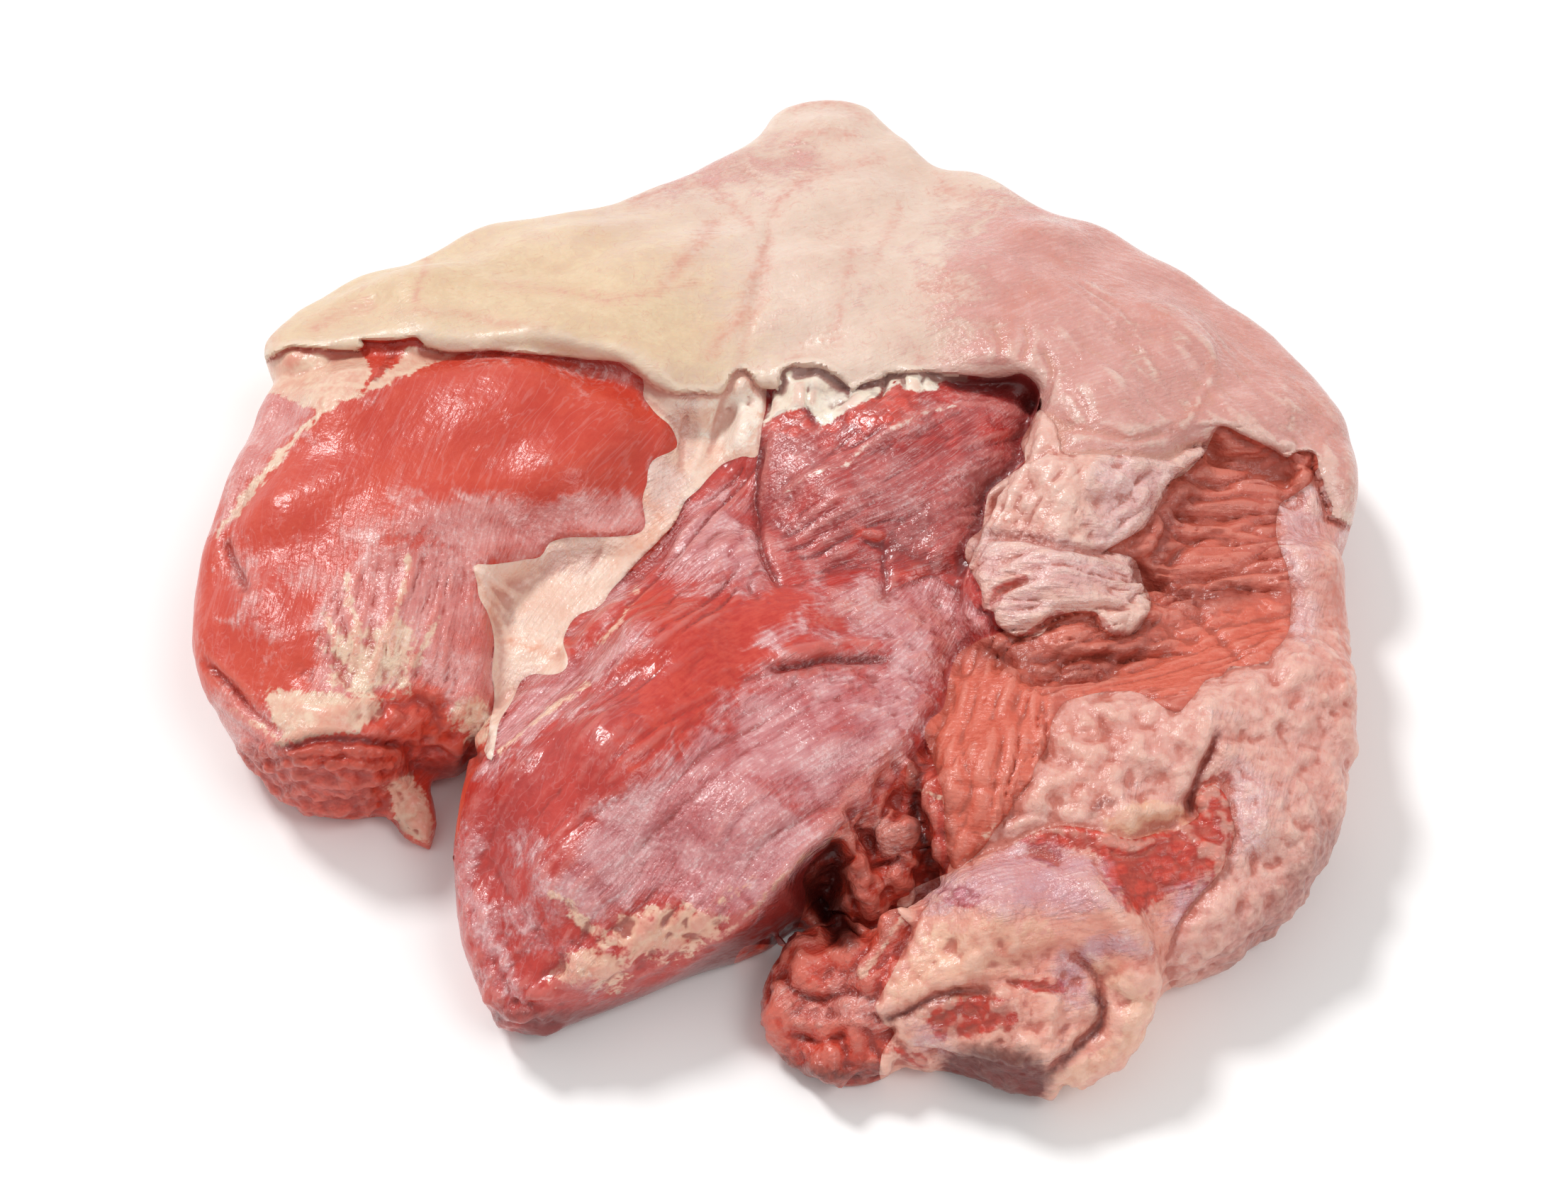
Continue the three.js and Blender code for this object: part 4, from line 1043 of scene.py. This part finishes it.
                        (1580, 1280), (1480, 1290), (1400, 1290), (1360, 1276), (1320, 1276)], 12),
        ("film", None, [(1500, 1345), (1560, 1322), (1612, 1330), (1620, 1350), (1560, 1350), (1530, 1380),
                        (1560, 1420), (1520, 1410), (1490, 1396)], 9),
        ("film", None, [(1650, 1270), (1700, 1240), (1712, 1290), (1690, 1330), (1660, 1310)], 12),
        ("film", 2.0, [(1290, 1440), (1310, 1470), (1340, 1480)], 10),
        ("blush", 1.5, [(1300, 1272), (1284, 1330), (1262, 1380)], 8),
        ("blush", 2.0, [(1640, 1340), (1600, 1362), (1560, 1372)], 14),
        ("blush", 3.0, [(1380, 1330), (1450, 1350), (1500, 1340)], 24),
        ("blush", 2.0, [(1280, 1420), (1340, 1396), (1420, 1376)], 12),
        ("shade", 1.5, [(1252, 1438), (1290, 1426), (1320, 1410), (1350, 1400)], 6),
        ("shade", 2.0, [(1545, 1400), (1556, 1425), (1540, 1460), (1500, 1496), (1466, 1530)], 7),
        ("shade", 4.0, [(1300, 1530), (1380, 1560), (1440, 1590), (1500, 1580)], 16),
        ("fat", None, [(1255, 1400), (1290, 1330), (1380, 1300), (1480, 1320), (1440, 1370), (1360, 1390),
                       (1300, 1410)], 30),
        ("fat", 4.0, [(1560, 1370), (1600, 1400), (1606, 1450), (1560, 1490), (1500, 1530)], 14),
    ],
    "ragged_end": [
        ("film", None, [(1110, 1400), (1180, 1390), (1240, 1410), (1240, 1440), (1150, 1450), (1110, 1430)], 14),
        ("film", 1.5, [(1262, 1290), (1240, 1340), (1208, 1384), (1150, 1420)], 8),
        ("film", None, [(1205, 1160), (1250, 1150), (1276, 1180), (1250, 1210), (1215, 1195)], 12),
        ("fat", 1.2, [(1290, 1284), (1262, 1310), (1244, 1340), (1216, 1376)], 6),
        ("fat", 0.5, [(1290, 1112), (1310, 1118), (1334, 1132)], 4),
        ("bright", None, [(1165, 1180), (1230, 1140), (1290, 1160), (1330, 1240), (1260, 1330), (1180, 1330),
                          (1160, 1240)], 14),
        ("shade", None, [(1118, 1240), (1150, 1200), (1182, 1185), (1194, 1230), (1190, 1270), (1214, 1330),
                         (1180, 1340), (1150, 1296), (1126, 1270)], 6),
        ("shade", 3.0, [(1290, 1080), (1292, 1130), (1300, 1180), (1320, 1236)], 14),
        ("shade", 4.0, [(1100, 1500), (1180, 1520), (1240, 1510)], 14),
    ],
}
TISSUES = ("fat", "film", "bright", "blush", "shade")


def paint(skin, marks, tissue):
    """How much of a tissue each point has: 0.5 at the border of its patches, and up to 1 inside them."""
    share = np.zeros(len(skin.points))
    for kind, width, line, fade in marks:
        if kind == tissue and width is None:
            share = np.maximum(share, 0.5 + skin.depth_in(curved(line, step=12), fade) / fade)
        elif kind == tissue:
            gap = skin.gap(wavering(curved(line, closed=False), 2), fade + width)
            share = np.maximum(share, 0.5 + (width - gap) / fade)
    return np.clip(share, 0, 1)


DARKEST_GROOVE = 4
GROOVE_SHARE = 0.7


def groove_depth(skin):
    """How deep in a drawn groove each point lies, from 0 to 1."""
    deep = np.zeros(len(skin.points))
    for lines in LINES.values():
        for height, width, line in lines:
            if height < 0:
                deep = np.maximum(deep, press_line(skin, -height / DARKEST_GROOVE, GROOVE_SHARE * width, line))
    return np.clip(deep, 0, 1)


def mend_hollows(thing):
    """Gives the new points on a cut's rim the hollow number of their neighbours."""
    values = np.empty(len(thing.data.vertices), np.float32)
    thing.data.attributes["hollow"].data.foreach_get("value", values)
    ends, count = links_of(thing)
    for _ in range(2):
        known = (values > 0).astype(float)
        shares = neighbour_mean(known, ends, count)
        means = neighbour_mean(values, ends, count) / np.maximum(shares, 1e-6)
        values = np.where(known > 0, values, np.where(shares > 0, means, 0))
    keep_numbers(thing, "hollow", np.where(values > 0, values, 0.5))


skins = {name: Skin(piece) for name, piece in pieces.items()}
for name, piece in pieces.items():
    for tissue in TISSUES:
        keep_numbers(piece, tissue, paint(skins[name], PAINT[name], tissue))
    # The depth in a drawn groove drives painted shade, darker colour in the groove.
    keep_numbers(piece, "deep", groove_depth(skins[name]) * skins[name].shown)
    mend_hollows(piece)
print("Painted:", {name: len(marks) for name, marks in PAINT.items()})

# %% [markdown]
# ## The grain
# Muscle is bundles of fibres, and their direction shows as fine streaks. Each piece stores how far a point
# lies across the fibres and along them. The material's streak noise reads these two numbers, so it comes
# out drawn along the fibres. The direction is an angle in plan, and it turns a little over the piece.

# %% Grain
GRAIN = {
    "fat_cover": 0.3, "left_muscle": 1.35, "seam_membrane": 0.9, "middle_muscle": 0.8, "inner_muscle": 0.6,
    "folded_flap": -0.2, "wrinkled_lean": 0.1, "right_rim": 1.45, "near_slab": 0.35, "ragged_end": 0.6,
}
STREAK_LENGTH = 14
TURNING = 0.35

for name, piece in pieces.items():
    places = skins[name].mm
    turn = GRAIN[name] + TURNING * noise(places, 90, 21)
    middle = places - places.mean(0)
    across = middle[:, 1] * np.cos(turn) - middle[:, 0] * np.sin(turn)
    along = middle[:, 0] * np.cos(turn) + middle[:, 1] * np.sin(turn)
    grain = np.column_stack((across, along / STREAK_LENGTH, middle[:, 2])).astype(np.float32)
    piece.data.attributes.new("grain", "FLOAT_VECTOR", "POINT").data.foreach_set("vector", grain.ravel())
print("Grain stored on", len(pieces), "pieces")

# %% [markdown]
# ## Materials
# All the tissues are made in the same way: a body colour that drifts between two tones, fibres, a film over
# it, fat where fat was painted, painted shade in the grooves, where blood also gathers, and in hollows, a
# painted highlight on crests, and a wet surface. The wet look is a thin clear coat over a rougher skin, with a
# fine bump that breaks up the lights into glints, and white specks painted on the film as glints. Light enters
# fat and lean a few mm deep, so both scatter a little under the surface.
#
# The settings: veil is how much the film hides, glints are white specks painted on it as highlights, threads
# are pale fibres, web is sinews along the grain, veins are thin red lines, pebbles are lobules of fat, bundles
# are the dark seams of cut lean, crinkle and grit are relief, and wet is the clear coat.

# %% Material helpers
def linear(colour):
    """A hex colour as the screen shows it, turned to the linear values that light adds up in."""
    parts = [int(colour[i:i + 2], 16) / 255 for i in (1, 3, 5)]
    return (*[p / 12.92 if p <= 0.04045 else ((p + 0.055) / 1.055) ** 2.4 for p in parts], 1)


def per_metre(size):
    """The noise scale whose spots are about this many mm wide."""
    return 1000 / size


def add(tree, kind, sockets=None, **settings):
    """Adds a node with its settings. Each socket takes a value or a link from another node's output."""
    made = tree.nodes.new("ShaderNode" + kind)
    for key, value in settings.items():
        setattr(made, key, value)
    for key, value in (sockets or {}).items():
        if isinstance(value, bpy.types.NodeSocket):
            tree.links.new(value, made.inputs[key])
        else:
            made.inputs[key].default_value = value
    return made


def mixed(tree, share, first, second):
    """A colour between two colours."""
    return add(tree, "Mix", {0: share, 6: first, 7: second}, data_type="RGBA").outputs[2]


def threshold(tree, value, low, high, top=1.0):
    """Zero below low and top above high, with a smooth step between them."""
    sockets = {"Value": value, "From Min": low, "From Max": high, "To Max": top}
    return add(tree, "MapRange", sockets, interpolation_type="SMOOTHSTEP").outputs["Result"]


def weighted(tree, *terms):
    """The sum of outputs, each times its weight. A lone number is added as it is."""
    total = None
    for term in terms:
        if isinstance(term, tuple):
            start = 0.0 if total is None else total
            made = add(tree, "Math", {0: term[0], 1: term[1], 2: start}, operation="MULTIPLY_ADD")
        else:
            made = add(tree, "Math", {0: total, 1: term}, operation="ADD")
        total = made.outputs[0]
    return total


def lines_in(tree, pattern, width, top):
    """Thin lines that wander through a pattern: they lie where it is close to its middle."""
    middle = add(tree, "Math", {0: pattern, 1: 0.5}, operation="SUBTRACT").outputs[0]
    gap = add(tree, "Math", {0: middle}, operation="ABSOLUTE").outputs[0]
    return threshold(tree, gap, width, 0.0, top)


def times(tree, first, second):
    """The product of two outputs."""
    return add(tree, "Math", {0: first, 1: second}, operation="MULTIPLY").outputs[0]


WET_IOR = 1.4
COAT_ROUGHNESS = 0.16
LIGHT_REACH = 0.002
REACH_OF_COLOURS = (1.0, 0.35, 0.2)


def meat_material(name, body, film, fat, bright, blush="#cc7463", shade="#6e1d1a", hollow_shade=None, crest_highlight=None,
                  veil=0.6, painted_glints=0.3, threads=0.12, web=0.0, veins=0.0, pebbles=0.0, bundles=0.3, crinkle=0.8,
                  grit=0.12, roughness=0.42, wet=0.7, scatter=0.1, fat_border=(0.4, 0.64)):
    """A wet tissue: body, film, fat and bright lean each drift between two colours."""
    material = bpy.data.materials.new(name)
    material.use_nodes = True
    tree = material.node_tree
    shader = tree.nodes["Principled BSDF"]
    place = add(tree, "TexCoord").outputs["Object"]
    grain = add(tree, "Attribute", attribute_name="grain").outputs["Vector"]

    def read(attribute):
        return add(tree, "Attribute", attribute_name=attribute).outputs["Fac"]

    def cloud(scale, detail=2, vector=place, warp=0.0):
        sockets = {"Vector": vector, "Scale": scale, "Detail": detail, "Distortion": warp}
        return add(tree, "TexNoise", sockets).outputs["Fac"]

    drift = cloud(per_metre(36), 2)
    patch = cloud(per_metre(15), 2, warp=0.8)
    blotch = cloud(per_metre(7), 3, warp=0.6)
    fine = cloud(per_metre(2.4), 3)
    speck = cloud(per_metre(1.3), 2)
    fibre = cloud(0.8, 3, grain)
    thread = cloud(0.24, 2, grain, 0.4)
    cells = add(tree, "TexVoronoi", {"Vector": place, "Scale": per_metre(4.6)}).outputs["Distance"]

    tone = threshold(tree, weighted(tree, (drift, 1.2), (blotch, 0.9), (fibre, 0.6), -0.85), 0.1, 0.9)
    colour = mixed(tree, tone, linear(body[0]), linear(body[1]))
    colour = mixed(tree, lines_in(tree, thread, 0.03, threads), colour, linear(film[1]))

    cut = weighted(tree, (read("bright"), 1), (blotch, 0.9), (fine, 0.5), -0.7)
    cut = threshold(tree, cut, 0.38, 0.62)
    flesh = threshold(tree, weighted(tree, (fibre, 0.8), (blotch, 0.8), (fine, 0.8), -0.7), 0.25, 0.75)
    colour = mixed(tree, cut, colour, mixed(tree, flesh, linear(bright[0]), linear(bright[1])))

    covered = weighted(tree, (read("film"), 1), (patch, 1.6), (fibre, 0.7), (fine, 0.5), -1.4)
    covered = threshold(tree, covered, 0.15, 0.9, veil)
    silver = threshold(tree, weighted(tree, (fibre, 0.6), (patch, 1.0), -0.3), 0.25, 0.75)
    colour = mixed(tree, covered, colour, mixed(tree, silver, linear(film[0]), linear(film[1])))
    if web:
        sinew = lines_in(tree, cloud(0.5, 1, grain, 1.2), 0.02, web)
        colour = mixed(tree, sinew, colour, linear("#e4bfba"))

    fatty = weighted(tree, (read("fat"), 1), (blotch, 0.9), (fine, 0.6), (fibre, 0.4), -0.95)
    fatty = threshold(tree, fatty, *fat_border)
    fat_tone = threshold(tree, weighted(tree, (drift, 0.7), (fine, 0.6), (blotch, 0.8), -0.55), 0.2, 0.8)
    colour = mixed(tree, fatty, colour, mixed(tree, fat_tone, linear(fat[0]), linear(fat[1])))

    stain = weighted(tree, (read("blush"), 1), (blotch, 1.0), (fibre, 0.5), (fine, 0.6), -1.05)
    colour = mixed(tree, threshold(tree, stain, 0.2, 1.0, 0.75), colour, linear(blush))
    if veins:
        capillary = lines_in(tree, cloud(per_metre(15), 3, warp=1.5), 0.012, veins)
        colour = mixed(tree, capillary, colour, linear(blush))
    if pebbles:
        crevice = threshold(tree, weighted(tree, (cells, 1), (fine, 0.5), -0.25), 0.35, 0.75, 0.4 * pebbles)
        colour = mixed(tree, crevice, colour, linear(blush))
    seam = times(tree, cut, threshold(tree, weighted(tree, (cells, 1), (fine, 0.4), -0.2), 0.4, 0.7, bundles))
    colour = mixed(tree, seam, colour, linear(shade))

    # Painted light from the hollow number: a painted highlight, lighter colour on crests, and painted shade, darker
    # colour in hollows.
    hollow = weighted(tree, (read("hollow"), 1), (fine, 0.35), -0.175)
    colour = mixed(tree, threshold(tree, hollow, 0.42, 0.12, 0.35), colour, linear(crest_highlight or film[1]))
    colour = mixed(tree, threshold(tree, hollow, 0.56, 0.95, 0.75), colour, linear(hollow_shade or shade))
    # Painted highlight: white specks mixed into the film's colour as glints.
    glitter = weighted(tree, (speck, 0.5), (fibre, 0.5), (patch, 0.35), -0.175)
    painted_sparkle = times(tree, threshold(tree, glitter, 0.56, 0.64, painted_glints), covered)
    colour = mixed(tree, painted_sparkle, colour, linear("#f6eae8"))

    # Painted shade: darker colour where shade was painted, and in drawn grooves.
    gloom = weighted(tree, (read("shade"), 0.9), (fine, 0.5), (blotch, 0.4), -0.45)
    colour = mixed(tree, threshold(tree, gloom, 0.15, 0.95, 0.85), colour, linear(shade))
    groove = threshold(tree, weighted(tree, (read("deep"), 1), (fine, 0.5), -0.25), 0.15, 0.95, 0.5)
    colour = mixed(tree, groove, colour, linear(shade))
    tree.links.new(colour, shader.inputs["Base Color"])

    crinkles = times(tree, covered, weighted(tree, (fine, 1), (fibre, 0.5)))
    relief = weighted(tree, (fibre, grit), (fine, 2 * grit), (crinkles, crinkle), (blotch, 0.4), (cells, -pebbles))
    relief = weighted(tree, (relief, 1), (seam, -0.6), (speck, 0.04))
    bump = add(tree, "Bump", {"Height": relief, "Strength": 1.0, "Distance": 0.001}).outputs["Normal"]
    tree.links.new(bump, shader.inputs["Normal"])
    tree.links.new(bump, shader.inputs["Coat Normal"])
    matt = weighted(tree, (fine, 0.2), (covered, -0.3), roughness - 0.1)
    tree.links.new(matt, shader.inputs["Roughness"])
    shader.inputs["IOR"].default_value = WET_IOR
    shader.inputs["Coat Weight"].default_value = wet
    shader.inputs["Coat Roughness"].default_value = COAT_ROUGHNESS
    shader.inputs["Coat IOR"].default_value = WET_IOR
    shader.inputs["Subsurface Weight"].default_value = scatter
    shader.inputs["Subsurface Radius"].default_value = REACH_OF_COLOURS
    shader.inputs["Subsurface Scale"].default_value = LIGHT_REACH
    return material


# %% [markdown]
# ## The tissues
# Hard fat from the brisket's outside is cream where it is thick and dry, and pink where it is thin. Lean that
# was under silverskin is deep red and shiny. Lean that has lain open turns brownish and wrinkled. Torn lean
# is bright. Each tissue is named for what it is.

# %% Tissues
# Each tissue gives the colour of the painted shade in its hollows and of the painted highlight on its crests. Its
# shade colour is painted shade too, and it also colours the dark seams of cut lean.
LEAN_CUT = ("#b6301f", "#d0452f")
# Cream with faint pink veins: the dense fat of the brisket's outside, dull beside the lean.
hard_fat = meat_material(
    "hard_fat", body=("#dabcaa", "#e3cab9"), film=("#cb8b82", "#d89f96"), fat=("#d9b894", "#e3c9a8"),
    bright=LEAN_CUT, blush="#d0897a", shade="#a8604e", hollow_shade="#cf9482", crest_highlight="#eedccb", veil=0.95, painted_glints=0.1,
    veins=0.3, crinkle=0.4, grit=0.12, roughness=0.46, wet=0.3, scatter=0.18, fat_border=(0.05, 1.0),
)
# Clean bright red under a thin pink film, with cream tendons: the freshest muscle.
left_lean = meat_material(
    "lean_under_silverskin", body=("#c63b29", "#d04a34"), film=("#cc8480", "#e6b8b3"),
    fat=("#dca28c", "#e8c8ae"), bright=("#b4331f", "#cf4a34"), hollow_shade="#a83022", crest_highlight="#de7664", roughness=0.44, wet=0.5,
)
# Deep red with a broad silvery film that breaks the light into glints, and painted white glints: the thickest
# muscle.
middle_lean = meat_material(
    "deep_red_lean", body=("#ac2c25", "#c43b30"), film=("#be7478", "#e2b2b2"), fat=("#dc967e", "#ecc2a8"),
    bright=("#be2c1f", "#cc4230"), hollow_shade="#962c26", crest_highlight="#dc8a80", veil=0.7, bundles=0,
    roughness=0.4, wet=0.85,
)
# Dark crimson with fine pale sinews and wet glints, partly painted as white specks: lean that lay covered until now.
inner_lean = meat_material(
    "crimson_lean", body=("#962423", "#cc3d33"), film=("#b45858", "#dca09c"), fat=("#eddcc6", "#f6ebdc"),
    bright=("#c0301f", "#d44534"), hollow_shade="#7e2020", crest_highlight="#dc8f86", veil=0.42, painted_glints=0.45, threads=0.2,
    web=0.35, roughness=0.36, wet=0.9,
)
# Brownish salmon with dark valleys: lean that has dried a little and drawn together.
drying_lean = meat_material(
    "drying_lean", body=("#ba5747", "#cf6b58"), film=("#cc877c", "#daa096"), fat=("#dfa790", "#e8c0aa"),
    bright=("#cb5a44", "#d96f5a"), shade="#7e2c20", hollow_shade="#a84c3a", crest_highlight="#e29482", threads=0.05,
    bundles=0, grit=0.3, roughness=0.4, wet=0.45,
)
# Pale and smooth, a little orange at its edge: the membrane between two muscles.
seam_tissue = meat_material(
    "connective_membrane", body=("#e6bda8", "#f0d8c6"), film=("#d6a8a0", "#e4c4bc"), fat=("#f0dccb", "#f6eadc"),
    bright=LEAN_CUT, blush="#e0906c", shade="#a05848", hollow_shade="#cc9080", crest_highlight="#f4e0d2", veins=0.25,
    grit=0.2, roughness=0.42, wet=0.4, scatter=0.16,
)
# Pink and cream with a moist film: a thin flap that has folded over itself.
flap_tissue = meat_material(
    "fatty_flap", body=("#e0a99a", "#eac0b0"), film=("#d09498", "#e2b8b8"), fat=("#e8ccb6", "#efdcc8"),
    bright=("#b8351f", "#d04a38"), blush="#d27a69", shade="#8a3a30", hollow_shade="#ba6656", crest_highlight="#f0d3c4",
    veins=0.25, pebbles=0.3, grit=0.25, wet=0.8, scatter=0.16,
)
# Pink with round lobules and redder cracks between them: fat mixed with thin lean.
rim_fat = meat_material(
    "pink_fat", body=("#d99a8e", "#e4b2a4"), film=("#c6929a", "#deb8ba"), fat=("#d8987c", "#e6b89a"),
    bright=("#c44030", "#d85a48"), blush="#cb6d5a", shade="#7a2c26", hollow_shade="#b85c4a", crest_highlight="#f0cab8",
    veins=0.3, pebbles=0.6, grit=0.25, wet=0.4, scatter=0.16,
)
# Salmon with purple film and red ovals: fat with slices of lean in it.
slab_fat = meat_material(
    "marbled_fat", body=("#dd9684", "#e7ab99"), film=("#ac7e96", "#cca4b0"), fat=("#e4a68e", "#eec2a8"),
    bright=("#b23022", "#d24a38"), blush="#cc6856", shade="#581812", hollow_shade="#b45646", crest_highlight="#f0c8b4",
    veins=0.3, pebbles=0.5, grit=0.25, wet=0.5, scatter=0.16,
)
# Glossy dark to bright red knobs: lean that was torn, not cut.
torn_lean = meat_material(
    "torn_lean", body=("#b03022", "#d0503c"), film=("#c47870", "#dca49a"), fat=("#dca088", "#e8bda6"),
    bright=("#b8331f", "#d25542"), shade="#3a0d0c", hollow_shade="#942c20", crest_highlight="#e2907e", threads=0.15, grit=0.35,
    roughness=0.36, wet=0.6,
)
FINISHES = {
    "fat_cover": hard_fat, "left_muscle": left_lean, "middle_muscle": middle_lean, "inner_muscle": inner_lean,
    "wrinkled_lean": drying_lean, "seam_membrane": seam_tissue, "folded_flap": flap_tissue,
    "right_rim": rim_fat, "near_slab": slab_fat, "ragged_end": torn_lean,
}
SHARP_FOLD = math.radians(50)
for name, piece in pieces.items():
    piece.data.materials.clear()
    piece.data.materials.append(FINISHES[name])
    pick(piece)
    bpy.ops.object.shade_smooth_by_angle(angle=SHARP_FOLD)
    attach(piece, "root")
    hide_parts("brisket")
print("Finished:", {name: material.name for name, material in FINISHES.items()})

# %% [markdown]
# ## Floor and light
# The meat lies on a plain pale floor under soft light from all around, with one large soft lamp from behind
# on the left that models the lumps and puts glints on the wet parts, and a weaker one from the near right.

# %% Floor and light
FLOOR_SIZE = 12
bpy.ops.object.select_all(action="DESELECT")
bpy.ops.mesh.primitive_plane_add(size=FLOOR_SIZE, location=(0, 0, 0))
floor = bpy.context.object
floor.name = "floor"
paper = bpy.data.materials.new("white_paper")
paper.use_nodes = True
paper.node_tree.nodes["Principled BSDF"].inputs["Base Color"].default_value = linear("#fbfaf9")
paper.node_tree.nodes["Principled BSDF"].inputs["Roughness"].default_value = 0.95
floor.data.materials.append(paper)

world = bpy.data.worlds.new("studio")
world.use_nodes = True
world.node_tree.nodes["Background"].inputs["Color"].default_value = linear("#ffffff")
world.node_tree.nodes["Background"].inputs["Strength"].default_value = 0.6
bpy.context.scene.world = world
bpy.context.scene.view_settings.view_transform = "Standard"


def lamp(towards, strength, spread):
    """A far lamp that shines this way. Its spread in degrees makes its shadows soft."""
    turn = Vector(towards).to_track_quat("-Z", "Y").to_euler()
    bpy.ops.object.light_add(type="SUN", location=-Vector(towards), rotation=turn)
    bpy.context.object.data.energy = strength
    bpy.context.object.data.angle = math.radians(spread)


FROM_BEHIND_LEFT = (0.45, -0.5, -0.8)
FROM_NEAR_RIGHT = (-0.5, 0.25, -0.9)
lamp(FROM_BEHIND_LEFT, 1.7, 12)
lamp(FROM_NEAR_RIGHT, 0.6, 25)
